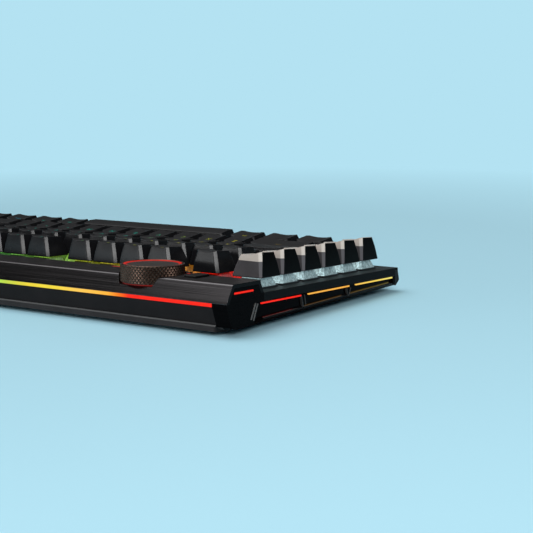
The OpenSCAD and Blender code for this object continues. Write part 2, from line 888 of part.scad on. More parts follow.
base_tray();
deck_plate();
bar_cover();
rear_panel();
end_caps();
side_trims();
rear_light();
edge_lights();
status_light();
wheel_light_ring();
main_board();
bar_board();
board_chips();
switch_bases();
switch_covers();
return_springs();
key_leds();
stabiliser_clips();
stabiliser_wires();
wheel_encoder();
roller_bracket();
tact_switches();
case_screws();
rubber_feet();
cable_gland();
function_caps();
function_stems();
number_caps();
number_stems();
upper_caps();
upper_stems();
home_caps();
home_stems();
lower_caps();
lower_stems();
bottom_caps();
bottom_stems();
macro_cap_1();
macro_stem_1();
macro_cap_2();
macro_stem_2();
macro_cap_3();
macro_stem_3();
macro_cap_4();
macro_stem_4();
macro_cap_5();
macro_stem_5();
macro_cap_6();
macro_stem_6();
wheel_rim();
wheel_glow_ring();
wheel_button();
volume_roller();
media_key_1();
media_key_2();
media_key_3();
media_key_4();
profile_button();
left_tilt_foot();
right_tilt_foot();
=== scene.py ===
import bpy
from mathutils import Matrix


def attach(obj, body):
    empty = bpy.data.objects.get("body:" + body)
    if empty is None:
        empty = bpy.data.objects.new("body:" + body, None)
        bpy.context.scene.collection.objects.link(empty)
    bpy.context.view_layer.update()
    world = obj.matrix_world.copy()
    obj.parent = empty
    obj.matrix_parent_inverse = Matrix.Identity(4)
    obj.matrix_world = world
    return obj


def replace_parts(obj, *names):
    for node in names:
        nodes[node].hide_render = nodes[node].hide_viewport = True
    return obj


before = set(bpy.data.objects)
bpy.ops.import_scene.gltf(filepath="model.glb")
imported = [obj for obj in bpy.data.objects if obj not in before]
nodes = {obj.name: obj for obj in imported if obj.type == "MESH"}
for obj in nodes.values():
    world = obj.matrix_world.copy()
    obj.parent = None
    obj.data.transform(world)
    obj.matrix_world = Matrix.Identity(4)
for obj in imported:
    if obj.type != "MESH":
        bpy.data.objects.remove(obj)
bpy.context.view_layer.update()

import math
import bpy
import numpy as np
from mathutils import Matrix, Vector

scene = bpy.context.scene

# The deck's own frame: millimetres, plate top at z 0, tilted rear up and lifted off the desk.
TILT = math.radians(2.2)
DECK_SHIFT, DECK_LIFT = -0.1, 16.6
BODY_HALF = 235.0

# Keys, in millimetres: spacing, gap between caps and height of a cap's lower edge
PITCH, CAP_GAP, CAP_LIFT = 19.05, 0.95, 5.5
# How far a cap's sides lean in, and its rear and front ends
SIDE_LEAN, END_LEANS, MACRO_END_LEANS = 2.8, (1.3, 3.7), (3.3, 1.7)
# Wall, roof and finger dish of a cap, and the crown that keys wider than some pitches have instead
CAP_WALL, CAP_ROOF, DISH, CROWN, CROWNED_FROM = 1.5, 1.6, 0.9, 0.9, 4
# Rows from the rear: place of the first, extra gap after it, and the macro column, which is given in pitches
FIRST_ROW_Y, ROW_GAP, MACRO_X, FIRST_MACRO_Y = 32.2, 2.0, -11.5, 34.2
ROWS = ["function", "number", "upper", "home", "lower", "bottom"]
# Height of each row's caps at the rear edge, and how far their tops fall to the front
CAP_HEIGHT = [11.7, 11.9, 9.0, 8.4, 7.4, 8.6]
CAP_DROP = [0.9, 0.9, 1.1, 0.5, -1.9, -1.8]
# Macro caps: height, fall to the front, fall to the right, extra width
MACRO_HEIGHT, MACRO_DROP, MACRO_FALL, MACRO_WIDER = 13.0, 0.7, 2.0, 0.8
# Media keys: place before the first one in pitches, half sizes, top and foot
MEDIA_X, MEDIA_HALF, MEDIA_TOP, MEDIA_FOOT = 7.5, (8.6, 5.0), 4.6, 1.6

# Control wheel and volume roller
WHEEL_AT, WHEEL_R, WHEEL_LOW, WHEEL_TOP = np.array([-175.85, 64.65, 0.0]), 16.6, 2.5, 11.7
ROLLER_AT, ROLLER_R = np.array([204.0, 64.0, 2.0]), 8.0

# Side rails: front end, upper edge, upper edge of the light's groove, and lower edge above the desk
RAIL_FRONT, RAIL_TOP, GROOVE_TOP, SKIRT = -77.0, -4.2, -4.75, 3.7


def deck(points):
    """Deck millimetres to the part's metres: a turn about X by the tilt, then a shift and a lift."""
    x, y, z = np.moveaxis(np.asarray(points, float), -1, 0)
    c, s = math.cos(TILT), math.sin(TILT)
    return np.stack([x, y * c - z * s + DECK_SHIFT, y * s + z * c + DECK_LIFT], -1) / 1000.0


# Materials


def srgb(r, g, b):
    """A colour as it looks on a screen, 0 to 255, as the linear values that a shader takes."""
    c = np.array([r, g, b]) / 255.0
    return tuple(np.where(c <= 0.04045, c / 12.92, ((c + 0.055) / 1.055) ** 2.4)) + (1.0,)


def shades(colour, low, high):
    """Two versions of a colour, darker and lighter, for a ramp."""
    c = np.array(colour[:3])
    return tuple(c * low), tuple(np.minimum(c * high, 1.0))


WHITE = (1.0, 1.0, 1.0)


class Nodes:
    """The node tree of a material or the world, with short calls to add and join its nodes."""

    def __init__(self, owner, shader):
        owner.use_nodes = True
        self.tree = owner.node_tree
        self.shader = self.tree.nodes[shader]

    def add(self, kind, **values):
        node = self.tree.nodes.new(kind)
        for key, value in values.items():
            if key in node.inputs:
                node.inputs[key].default_value = value
            else:
                setattr(node, key, value)
        return node

    def join(self, out, into):
        self.tree.links.new(out, self.shader.inputs[into] if isinstance(into, str) else into)
        return self

    def ramp(self, fac, stops):
        n = self.add("ShaderNodeValToRGB")
        while len(n.color_ramp.elements) < len(stops):
            n.color_ramp.elements.new(0.5)
        for stop, (at, colour) in zip(n.color_ramp.elements, stops):
            stop.position, stop.color = at, tuple(colour[:3]) + (1.0,)
        self.join(fac, n.inputs["Fac"])
        return n.outputs["Color"]


class Finish(Nodes):
    """A material, with calls for what its surfaces show."""

    def __init__(self, name, **values):
        self.mat = bpy.data.materials.new(name)
        super().__init__(self.mat, "Principled BSDF")
        self.where = self.add("ShaderNodeTexCoord").outputs["Object"]
        for key, value in values.items():
            self.shader.inputs[key.replace("_", " ")].default_value = value

    def mapped(self, scale, lean=0.0, shift=(0, 0, 0)):
        """Object coordinates, shifted and turned about X by lean, then stretched by scale."""
        level = self.add("ShaderNodeMapping", Location=shift, Rotation=(lean, 0, 0))
        wide = self.add("ShaderNodeMapping", Scale=scale)
        self.join(self.where, level.inputs["Vector"])
        self.join(level.outputs["Vector"], wide.inputs["Vector"])
        return wide.outputs["Vector"]

    def noise(self, vector, scale, detail=4.0, rough=0.6):
        n = self.add("ShaderNodeTexNoise", Scale=scale, Detail=detail, Roughness=rough)
        self.join(vector, n.inputs["Vector"])
        return n.outputs["Fac"]

    def tone(self, fac, colour, vary, at=(0.3, 0.7)):
        """A colour from darker to lighter between two values of the factor."""
        return self.ramp(fac, list(zip(at, shades(colour, *vary))))

    def spread(self, fac, low, high, to_low=0.0, to_high=1.0):
        ends = {"From Min": low, "From Max": high, "To Min": to_low, "To Max": to_high}
        n = self.add("ShaderNodeMapRange", **ends)
        self.join(fac, n.inputs["Value"])
        return n.outputs["Result"]

    def rough(self, fac, level, below, above, at=(0.3, 0.7)):
        """Roughness about a level, from smoother to rougher between two values of the factor."""
        return self.spread(fac, *at, level - below, level + above)

    def axis(self, name, vector=None):
        n = self.add("ShaderNodeSeparateXYZ")
        self.join(vector or self.where, n.inputs["Vector"])
        return n.outputs[name]

    def facing(self, name):
        """One part of the surface's direction, in the object's own axes."""
        return self.axis(name, self.add("ShaderNodeTexCoord").outputs["Normal"])

    def height(self):
        """Height above the deck's plate."""
        return self.axis("Z", self.mapped((1, 1, 1), -TILT, (0, -DECK_SHIFT / 1000, -DECK_LIFT / 1000)))

    def length(self, vector):
        n = self.add("ShaderNodeVectorMath", operation="LENGTH")
        self.join(vector, n.inputs[0])
        return n.outputs["Value"]

    def flank(self, low, high):
        """How far the surface faces along X, either way, from 0 to 1."""
        n = self.add("ShaderNodeMath", operation="ABSOLUTE")
        self.join(self.facing("X"), n.inputs[0])
        return self.spread(n.outputs[0], low, high)

    def total(self, a, b, operation="ADD"):
        n = self.add("ShaderNodeMath", operation=operation)
        self.join(a, n.inputs[0])
        self.join(b, n.inputs[1])
        return n.outputs[0]

    def bump(self, height, strength, distance):
        n = self.add("ShaderNodeBump", Strength=strength, Distance=distance)
        self.join(height, n.inputs["Height"])
        return self.join(n.outputs["Normal"], "Normal")

    def surface(self, tone, rough, relief, strength, distance=0.0001):
        """Colour, roughness and a fine relief of the surface."""
        return self.join(tone, "Base Color").join(rough, "Roughness").bump(relief, strength, distance)

    def mix(self, fac, a, b, blend="MIX"):
        n = self.add("ShaderNodeMix", data_type="RGBA", blend_type=blend)
        for value, key in ((fac, 0), (a, 6), (b, 7)):
            if hasattr(value, "is_linked"):
                self.join(value, n.inputs[key])
            else:
                n.inputs[key].default_value = value
        return n.outputs[2]

    def by_place(self, stops):
        """Colour by place along X, over the keyboard's width."""
        return self.ramp(self.spread(self.axis("X"), -BODY_HALF / 1000, BODY_HALF / 1000), stops)

    def glow(self, shade):
        """Light of a shade, on a body of the same shade, darkened."""
        self.join(self.mix(0.9, shade, (0.01, 0.01, 0.01, 1.0)), "Base Color")
        return self.join(shade, "Emission Color")


# Painted shade: near-black colour for ends that face along X; grain and slow clouds of plastic, in spots to
# the metre
PAINTED_END_SHADE = (0.004, 0.0036, 0.004, 1)
GRAIN, CLOUD = 5000.0, 60.0


def moulded(name, colour, rough, grain=GRAIN, bump=0.1, spec=0.5, vary=(0.85, 1.18), painted_highlight=None):
    """Moulded plastic: fine spark-eroded grain, slow cloudy variation of colour and gloss. With a highlight
    factor, faces that face up get a painted highlight, paler by it, and ends along X get near-black painted
    shade."""
    f = Finish(name, Metallic=0.0, Specular_IOR_Level=spec)
    fine = f.noise(f.where, grain, 3.0)
    tone = f.tone(f.noise(f.where, CLOUD, 3.0), colour, vary)
    if painted_highlight:
        # Painted highlight: up-facing faces take a paler grey, the factor times the colour's green
        wear_and_highlight = (painted_highlight * colour[1],) * 3 + (1.0,)
        tone = f.mix(f.spread(f.facing("Z"), 0.2, 0.42), tone, wear_and_highlight)
        # Painted shade: ends that face along X are near-black
        tone = f.mix(f.flank(0.35, 0.6), tone, PAINTED_END_SHADE)
    return f.surface(tone, f.rough(fine, rough, 0.06, 0.08), fine, bump)


def keycap_plastic(name, colour, rough, top, spec):
    """Keycap plastic: smooth leaning sides and a coarser, duller top, by how far the surface faces up."""
    f = Finish(name, Metallic=0.0, Specular_IOR_Level=spec)
    fine = f.noise(f.where, GRAIN, 3.0)
    tone = f.tone(f.noise(f.where, CLOUD, 3.0), colour, (0.85, 1.18))
    duller = f.spread(f.facing("Z"), 0.7, 0.97, 0.0, top - rough)
    return f.surface(tone, f.total(f.rough(fine, rough, 0.05, 0.06), duller), fine, 0.1)


def brushed(name, colour, rough, vary=(0.7, 1.35), bump=0.1, top=0.0):
    """Anodised metal brushed along X: noise drawn out along X for colour, gloss and height. Ends that face
    along X get painted shade, near-black and not metallic, and level faces are rougher by top."""
    f = Finish(name, Specular_IOR_Level=0.04)
    fine = f.noise(f.mapped((14.0, 2600.0, 2600.0), -TILT), 1.0, 5.0, 0.7)
    broad = f.noise(f.mapped((7.0, 330.0, 330.0), -TILT), 1.0, 3.0)
    hair_tone = f.tone(fine, colour, vary, (0.32, 0.68))
    tone = f.mix(0.4, hair_tone, f.tone(broad, colour, vary, (0.35, 0.65)))
    # Painted shade: ends that face along X are near-black and not metallic
    end = f.flank(0.8, 0.95)
    f.join(f.spread(end, 0.0, 1.0, 1.0, 0.0), "Metallic")
    gloss = f.total(f.rough(fine, rough, 0.07, 0.09), f.spread(f.facing("Z"), 0.9, 0.98, 0.0, top))
    return f.surface(f.mix(end, tone, PAINTED_END_SHADE), gloss, fine, bump)


def polished(name, colour, rough, spec):
    """Polished black plastic with faint rubbing marks and slow waviness."""
    f = Finish(name, Metallic=0.0, Specular_IOR_Level=spec)
    marks = f.noise(f.mapped((90.0, 160.0, 900.0)), 1.0, 5.0)
    rubbed = (0.35, 0.75)
    return f.surface(f.tone(marks, colour, (0.7, 1.7), rubbed), f.rough(marks, rough, 0.03, 0.06, rubbed),
                     f.noise(f.where, 45.0, 2.0), 0.04, 0.0002)


def spun(name, colour, rough):
    """Metal spun on a lathe about the wheel's axis: rings of fine grooves by distance from the axis."""
    f = Finish(name, Metallic=1.0)
    at = deck(WHEEL_AT)
    flat = f.mapped((1.0, 1.0, 0.0), 0.0, (-at[0], -at[1], 0.0))
    grooves = f.add("ShaderNodeTexNoise", noise_dimensions="1D", Scale=4200.0, Detail=4.0)
    f.join(f.length(flat), grooves.inputs["W"])
    rings = grooves.outputs["Fac"]
    tone = f.tone(rings, colour, (0.7, 1.4))
    return f.surface(tone, f.rough(rings, rough, 0.06, 0.08), rings, 0.15, 0.00005)


def knurl_metal(name, colour, rough):
    """Dark anodised metal, paler in random patches of wear, with fine pits."""
    f = Finish(name, Metallic=1.0)
    pits = f.noise(f.where, 2600.0, 4.0)
    wear_and_highlight = f.noise(f.where, 240.0, 3.0)
    vary = (0.6, 1.5)
    tone = f.mix(0.5, f.tone(pits, colour, vary), f.tone(wear_and_highlight, colour, vary))
    return f.surface(tone, f.rough(pits, rough, 0.06, 0.1), pits, 0.08, 0.00005)


# Height on the deck of the line between the macro caps' two colours and half its blur, in metres
MACRO_LINE, LINE_BLUR = 0.0136, 0.00008


def two_tone(name, upper, lower, flank, spec):
    """Macro cap: silver grey above a line round the cap, dark grained plastic below, by height on the deck.
    The cut corners get a painted highlight, paler, and the side faces get painted shade, black all the way
    up."""
    f = Finish(name, Specular_IOR_Level=spec)
    above = f.spread(f.height(), MACRO_LINE - LINE_BLUR, MACRO_LINE + LINE_BLUR)
    fine = f.noise(f.where, GRAIN, 3.0)
    slow = f.noise(f.where, 70.0, 3.0)
    silver = f.tone(slow, upper, (0.9, 1.08))
    plastic = f.tone(slow, lower, (0.85, 1.18))
    # Painted highlight: the cut corners are paler, twice the dark plastic below the line and 1.4 times the
    # silver above it
    edge = f.mix(above, shades(lower, 1, 2.0)[1] + (1,), shades(upper, 1, 1.4)[1] + (1,))
    body = f.mix(f.flank(0.5, 0.62), f.mix(above, plastic, silver), edge)
    # Painted shade: the side faces take the near-black flank colour
    tone = f.mix(f.flank(0.86, 0.93), body, flank)
    return f.surface(tone, f.rough(fine, 0.3, 0.04, 0.06), fine, 0.08)


# Colours of the lights


def light_run(*pairs):
    """Stops of a ramp over the keyboard's width, from places along X in millimetres and their colours."""
    return [((mm + BODY_HALF) / (2 * BODY_HALF), colour) for mm, colour in pairs]


RED, ORANGE, AMBER = srgb(255, 34, 14), srgb(255, 128, 20), srgb(255, 180, 58)
HONEY, YELLOW, LEMON = srgb(255, 202, 88), srgb(240, 214, 60), srgb(200, 216, 50)
LIME, GREEN, TEAL = srgb(168, 222, 80), srgb(70, 215, 110), srgb(30, 200, 180)
BLUE, VIOLET, PINK = srgb(45, 115, 255), srgb(140, 70, 255), srgb(255, 45, 130)
ICE, UNLIT = srgb(205, 236, 240), srgb(60, 46, 40)
STRIP_STOPS = light_run((-173, RED), (-166, ORANGE), (-159, AMBER), (-138, HONEY), (-122, YELLOW),
                        (-102, YELLOW), (-78, LIME), (-40, GREEN), (20, TEAL), (100, BLUE), (170, VIOLET),
                        (226, PINK))
KEY_STOPS = light_run((-209.6, ICE), (-209.4, RED), (-186, RED), (-178, ORANGE), (-152, AMBER),
                      (-132, YELLOW), (-100, LEMON), (-76, LIME), (-14, GREEN), (24, TEAL), (80, BLUE),
                      (160, VIOLET), (225, PINK))
LEGEND_STOPS = light_run((-209.6, ICE), (-209.4, UNLIT), (-182, UNLIT), (-165, YELLOW), (-118, LEMON),
                         (-84, TEAL), (30, TEAL), (90, BLUE), (160, VIOLET), (225, PINK))
# Side strips, by share of the way from the front to the rear
SIDE_REACH = 0.09
WARM_SIDE = [(0.09, srgb(250, 232, 120)), (0.2, srgb(255, 216, 88)), (0.31, srgb(255, 196, 86)),
             (0.36, srgb(255, 180, 70)), (0.56, srgb(255, 182, 72)), (0.59, RED)]
COOL_SIDE = [(0.09, TEAL), (0.3, BLUE), (0.36, VIOLET), (0.56, VIOLET), (0.59, PINK)]


def lit(name, stops, strength, uneven):
    """A frosted light guide: colour by place along X, brighter and darker in clouds."""
    f = Finish(name, Roughness=0.35, Metallic=0.0, Specular_IOR_Level=0.05, Emission_Strength=strength)
    colour = f.by_place(stops)
    light = f.tone(f.noise(f.mapped((70.0, 70.0, 70.0), -TILT), 1.0, 2.0), WHITE, (uneven, 1.0), (0.32, 0.68))
    return f.glow(f.mix(1.0, colour, light, "MULTIPLY"))


def lit_plain(name, colour, strength):
    """A frosted lamp of one colour, a little brighter in places."""
    f = Finish(name, Roughness=0.4, Specular_IOR_Level=0.05, Emission_Strength=strength)
    return f.glow(f.tone(f.noise(f.where, 120.0, 2.0), colour, (0.75, 1.0), (0.35, 0.65)))


def side_strip(name, strength):
    """Side strips: colours from the front to the rear of a side, warm on the left and cool on the right."""
    f = Finish(name, Roughness=0.35, Specular_IOR_Level=0.05, Emission_Strength=strength)
    along = f.spread(f.axis("Y"), -SIDE_REACH, SIDE_REACH)
    colour = f.mix(f.spread(f.axis("X"), -0.01, 0.01), f.ramp(along, WARM_SIDE), f.ramp(along, COOL_SIDE))
    cloud = f.tone(f.noise(f.where, 90.0, 2.0), WHITE, (0.86, 1.0))
    return f.glow(f.mix(1.0, colour, cloud, "MULTIPLY"))


# Heights on the deck where a cover clears, and places along Y where the first row ends, in metres
COVER_CLEAR, BEHIND_FIRST = (0.0044, 0.0048), (0.031, 0.030)


def crystal(name, stops, strength):
    """Clear switch cover: light from the lamp below, in upright streaks and speckles, on a pale frosted
    body that still takes light from outside. The rear faces of the first row are dark near the plate."""
    f = Finish(name, Roughness=0.2, Emission_Strength=strength, Specular_IOR_Level=0.6)
    colour = f.by_place(stops)
    streak = f.noise(f.mapped((900.0, 900.0, 110.0), -TILT), 1.0, 3.0, 0.7)
    speck = f.noise(f.where, 900.0, 4.0, 0.75)
    light = f.mix(0.5, f.tone(streak, WHITE, (0.08, 1.0), (0.35, 0.66)),
                  f.tone(speck, WHITE, (0.1, 1.0), (0.38, 0.64)))
    other = f.total(f.spread(f.facing("Y"), 0.7, 0.3), f.spread(f.axis("Y"), *BEHIND_FIRST), "MAXIMUM")
    clear = f.total(f.spread(f.height(), *COVER_CLEAR, 0.06, 1.0), other, "MAXIMUM")
    shade = f.mix(1.0, f.mix(1.0, colour, light, "MULTIPLY"), clear, "MULTIPLY")
    lamp_side = f.tone(f.facing("Y"), WHITE, (0.3, 1.0), (0.05, 0.9))
    f.join(f.mix(1.0, shade, lamp_side, "MULTIPLY"), "Emission Color")
    f.join(f.mix(1.0, f.mix(0.6, shade, srgb(110, 128, 133)), clear, "MULTIPLY"), "Base Color")
    return f.bump(speck, 0.35, 0.0003)


# Finishes of this keyboard: colour, roughness and what else each takes

keycap_black = keycap_plastic("keycap_black", (0.0085, 0.0085, 0.0098, 1), 0.24, 0.6, 0.2)
case_black = moulded("case_black", (0.0150, 0.0112, 0.0112, 1), 0.45, spec=0.05)
# The tray's up-facing faces, its lip's chamfer among them, get a painted highlight; its ends get painted
# shade
tray_black = moulded("tray_black", (0.031, 0.0245, 0.0245, 1), 0.3, spec=0.1, painted_highlight=4.8)
deck_metal = brushed("deck_metal", (0.082, 0.078, 0.081, 1), 0.17, vary=(0.5, 1.6), bump=0.08, top=0.2)
plate_metal = brushed("plate_metal", (0.0125, 0.0096, 0.0092, 1), 0.42)
trim_gloss = polished("trim_gloss", (0.0018, 0.0013, 0.0015, 1), 0.12, 0.015)
# Grey of the painted highlights on the joints
joint_highlight_grey = moulded("joint_highlight_grey", (0.085, 0.072, 0.067, 1), 0.3, spec=0.2)
lip_gloss = polished("lip_gloss", (0.0018, 0.0013, 0.0015, 1), 0.17, 0.5)
# Grey of the painted highlights on the rib edges
rib_highlight_grey = moulded("rib_highlight_grey", (0.030, 0.027, 0.026, 1), 0.3, spec=0.2)
# The pad's up-facing faces get a painted highlight; its ends get painted shade
pad_black = moulded("pad_black", (0.006, 0.0055, 0.006, 1), 0.4, spec=0.06, painted_highlight=3.5)
rubber_black = moulded("rubber_black", (0.012, 0.012, 0.012, 1), 0.8, 4000.0, 0.3)
stem_grey = moulded("stem_grey", (0.30, 0.30, 0.31, 1), 0.45)
board_green = moulded("board_green", (0.015, 0.07, 0.04, 1), 0.4, 3000.0)
chip_black = moulded("chip_black", (0.02, 0.02, 0.022, 1), 0.55)
switch_dark = moulded("switch_dark", (0.02, 0.02, 0.022, 1), 0.45)
steel = brushed("steel", (0.45, 0.45, 0.46, 1), 0.3)
wheel_metal = knurl_metal("wheel_metal", (0.102, 0.066, 0.051, 1), 0.36)
spun_dark = spun("spun_dark", (0.135, 0.126, 0.12, 1), 0.42)
# Macro caps: silver above, dark plastic below, and near-black painted shade for the side faces
macro_two_tone = two_tone("macro_two_tone", (0.44, 0.385, 0.345, 1), (0.053, 0.049, 0.052, 1),
                          (0.0016, 0.0010, 0.0009, 1), 0.03)
rear_glow = lit("rear_glow", STRIP_STOPS, 1.0, 0.9)
edge_glow = side_strip("edge_glow", 1.0)
red_glow = lit_plain("red_glow", srgb(255, 58, 48), 0.5)
under_glow = lit_plain("under_glow", srgb(255, 60, 50), 0.14)
lamp_glow = lit("lamp_glow", KEY_STOPS, 2.5, 0.8)
legend_glow = lit("legend_glow", LEGEND_STOPS, 0.4, 0.75)
switch_clear = crystal("switch_clear", KEY_STOPS, 1.0)


# Meshes


def put(name, data):
    """A new object in the scene."""
    obj = bpy.data.objects.new(name, data)
    scene.collection.objects.link(obj)
    return obj


def mesh_piece(name, points, faces, body, finish, slot, smooth=True):
    """A piece from points in deck millimetres and lists of corner numbers, riding on a body."""
    mesh = bpy.data.meshes.new(name)
    mesh.from_pydata(deck(points).reshape(-1, 3).tolist(), [], faces)
    mesh.polygons.foreach_set("use_smooth", np.full(len(mesh.polygons), smooth))
    mesh.materials.append(finish.mat)
    mesh.update()
    obj = put(name, mesh)
    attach(obj, body)
    return obj


def ring_faces(count, rings, around, ends="filled"):
    """Quads between closed rings of points, for several like shells in turn. Rings run counter-clockwise seen
    from the first ring's outer side. The end rings are filled, left open, or joined to each other."""
    r = np.arange(rings if ends == "joined" else rings - 1)[:, None]
    n = (r + 1) % rings
    c = np.arange(around)[None, :]
    d = (c + 1) % around
    quad = np.stack([r * around + c, n * around + c, n * around + d, r * around + d], -1)
    start = np.arange(count) * rings * around
    faces = (quad.reshape(1, -1, 4) + start[:, None, None]).reshape(-1, 4).tolist()
    if ends == "filled":
        first = np.arange(around)
        last = (rings - 1) * around + np.arange(around)[::-1]
        faces += (start[:, None] + first[None, :]).tolist() + (start[:, None] + last[None, :]).tolist()
    return faces


def at_height(xy, z):
    """Points of a plan at one height."""
    return np.c_[xy, np.full(len(xy), z)]


def even_shade(obj):
    """Flat faces stay flat and rounded edges turn smoothly: normals weighted by face size."""
    even = obj.modifiers.new("even_shade", "WEIGHTED_NORMAL")
    even.weight = 60
    return obj


# What counts as one point and as flat, the least angle of a hard edge, and the steps that round it
MERGE_WITHIN, FLAT_WITHIN, HARD_FROM, ROUND_STEPS = 1e-6, math.radians(0.3), math.radians(28), 3


def soften(node, width):
    """Rounds the hard edges of a carried-over node: merge, drop flat edges, bevel in millimetres."""
    obj = nodes[node]
    obj.modifiers.new("merge", "WELD").merge_threshold = MERGE_WITHIN
    flat = obj.modifiers.new("flat", "DECIMATE")
    flat.decimate_type, flat.angle_limit = "DISSOLVE", FLAT_WITHIN
    edge = obj.modifiers.new("edge", "BEVEL")
    edge.width, edge.segments, edge.limit_method = width / 1000, ROUND_STEPS, "ANGLE"
    edge.angle_limit = HARD_FROM
    edge.use_clamp_overlap = True
    obj.data.polygons.foreach_set("use_smooth", np.full(len(obj.data.polygons), True))
    even_shade(obj)


def gather(parts):
    """Several sets of points and faces as one."""
    points, faces, start = [], [], 0
    for p, f in parts:
        points.append(np.asarray(p).reshape(-1, 3))
        faces += [[i + start for i in face] for face in f]
        start += len(points[-1])
    return np.concatenate(points), faces


def rounded(corners, radii, steps=3):
    """Outline of straight sides whose corners are arcs that touch both sides, each from its radius."""
    b = np.asarray(corners, float)
    r = np.broadcast_to(np.asarray(radii, float), len(b))[:, None]
    u, v = np.roll(b, 1, 0) - b, np.roll(b, -1, 0) - b
    u /= np.linalg.norm(u, axis=1, keepdims=True)
    v /= np.linalg.norm(v, axis=1, keepdims=True)
    half = np.arccos(np.sum(u * v, 1, keepdims=True)) / 2
    middle = b + (u + v) / np.linalg.norm(u + v, axis=1, keepdims=True) * r / np.sin(half)
    turn_by, t = np.pi - 2 * half, np.linspace(0, 1, steps + 1)
    first, last = [(b + w * r / np.tan(half) - middle) / np.sin(turn_by) for w in (u, v)]
    to_first, to_last = np.sin((1 - t) * turn_by)[..., None], np.sin(t * turn_by)[..., None]
    arc = first[:, None] * to_first + last[:, None] * to_last
    return (middle[:, None] + arc).reshape(-1, 2)


# Keycaps


def run(start, widths):
    """Keys side by side from start, in pitches: middle, width, depth."""
    w = np.asarray(widths, float)
    left = start + np.concatenate([[0], np.cumsum(w)[:-1]])
    return np.stack([left + w / 2, w, np.ones_like(w)], 1)


def key_rows():
    """The six rows as in the part's source, each an array of middle, width and depth in pitches."""
    one, left, pad_left = [1.0], -10.5, 8
    nav, pad = run(4.75, one * 3), run(pad_left, one * 3)
    tall = np.array([[pad_left + 3.5, 1.0, 2.0]])
    fours = [run(start, one * 4) for start in (left + 5 / 3, left + 19 / 3, 0.5)]
    groups = [
        [run(left, one), *fours, nav],
        [run(left, one * 13 + [2]), nav, run(pad_left, one * 4)],
        [run(left, [1.5] + one * 12 + [1.5]), nav, pad, tall],
        [run(left, [1.75] + one * 11 + [2.25]), pad],
        [run(left, [2.25] + one * 10 + [2.75]), run(5.75, one), pad, tall],
        [run(left, [1.25] * 3 + [6.25] + [1.25] * 4), nav, run(pad_left, [2, 1])],
    ]
    return [np.concatenate(g) for g in groups]


KEYS = key_rows()
MACRO_KEYS = np.array([[MACRO_X, 1.0, 1.0]])


def macro_y(row):
    """Middle of a macro key, front to rear."""
    return FIRST_MACRO_Y - row * PITCH


def row_y(row):
    """Middle of a key row, front to rear."""
    return FIRST_ROW_Y - row * PITCH - (ROW_GAP if row else 0)


def unit_corner(steps, ease):
    """A corner from (1, 0) to (0, 1): a straight cut whose two ends are arcs of radius ease, each of a number
    of steps. With an ease of 1 it is a quarter circle."""
    a = np.linspace(0, np.pi / 4, steps + 1)
    first = np.stack([1 - ease + ease * np.cos(a), ease * np.sin(a)], 1)
    last = first[::-1, ::-1]
    return np.concatenate([first, last[1:] if ease == 1 else last])


def outline_plan(corner_steps, ease, rear_steps, side_steps):
    """Plan of a rectangle with eased corners, counter-clockwise from the right side: a corner and a straight
    side, turned by quarters. Each point is (across, along, corner across, corner along): the first two
    multiply the straight half sizes, the last two the corner size."""
    plan = []
    corner = unit_corner(corner_steps, ease)
    for i, (c, s) in enumerate([(1, 0), (0, 1), (-1, 0), (0, -1)]):
        t = np.linspace(1, -1, (rear_steps, side_steps)[i % 2] + 1)[1:-1]
        straight = np.c_[t, np.ones_like(t), np.zeros_like(t), np.ones_like(t)]
        quarter = np.concatenate([np.c_[np.ones_like(corner), corner], straight])
        plan.append(quarter @ np.kron(np.eye(2), [[c, s], [-s, c]]))
    return np.concatenate(plan)


CAP_PLAN = outline_plan(2, 0.3, 6, 2)
COVER_PLAN = outline_plan(0, 0.5, 1, 1)


def outline(plan, half_w, half_d, corner):
    """Points of rectangles with eased corners, one row of points for each half width and half depth."""
    w, d = np.broadcast_arrays(np.asarray(half_w, float), np.asarray(half_d, float))
    w, d = w[..., None], d[..., None]
    return np.stack([plan[:, 0] * (w - corner) + plan[:, 2] * corner,
                     plan[:, 1] * (d - corner) + plan[:, 3] * corner], -1)


class Caps:
    """Keycaps of one row: their middles, half sizes at the foot and top, heights and dish, in millimetres."""

    def __init__(self, keys, y, height, drop, ends=END_LEANS, fall=0.0, wider=0.0):
        self.count = len(keys)
        self.x = keys[:, 0] * PITCH + wider / 2
        self.y = y - (keys[:, 2] - 1) / 2 * PITCH
        self.foot_w = (keys[:, 1] * PITCH - CAP_GAP + wider) / 2
        self.foot_d = (keys[:, 2] * PITCH - CAP_GAP) / 2
        self.top_w = self.foot_w - SIDE_LEAN
        self.lean, self.shift = (ends[1] + ends[0]) / 2, (ends[1] - ends[0]) / 2
        self.top_d = self.foot_d - self.lean
        self.height, self.drop, self.fall = height, drop, fall
        # A finger dish on every cap but the space bar, which is crowned.
        long = keys[:, 1] > CROWNED_FROM
        self.dish, self.crown = np.where(long, 0.0, DISH), np.where(long, CROWN, 0.0)

    def plane(self, x, y):
        """Height of the sloping top above the cap's foot: it falls from the rear edge to the front, and on a
        macro cap from the left edge to the right."""
        w, d = self.top_w[:, None], self.top_d[:, None]
        return self.height - self.drop * (d + self.shift - y) / (2 * d) - self.fall * (w + x) / (2 * w)

    def hollow(self, x, y):
        """Depth of the finger dish, a parabola across the cap that ends at the side edges. The space bar's
        crown is a parabola from the front edge to the rear one."""
        across = 1 - np.minimum(1, (x / self.top_w[:, None]) ** 2)
        along = 1 - np.minimum(1, ((y - self.shift) / self.top_d[:, None]) ** 2)
        return self.dish[:, None] * across - self.crown[:, None] * along

    def side(self, f, inset, corner):
        """Outline at a share f of the height on the leaning sides, moved in by inset."""
        half_w, half_d = self.foot_w - SIDE_LEAN * f - inset, self.foot_d - self.lean * f - inset
        return outline(CAP_PLAN, half_w, half_d, corner) + np.array([0, self.shift * f])


# Steps of a rounded top edge, from near the top down to the side
EDGE_STEPS = np.radians([60, 30, 0])
INNER_CORNER, LOWER_RIM = 0.6, 0.22


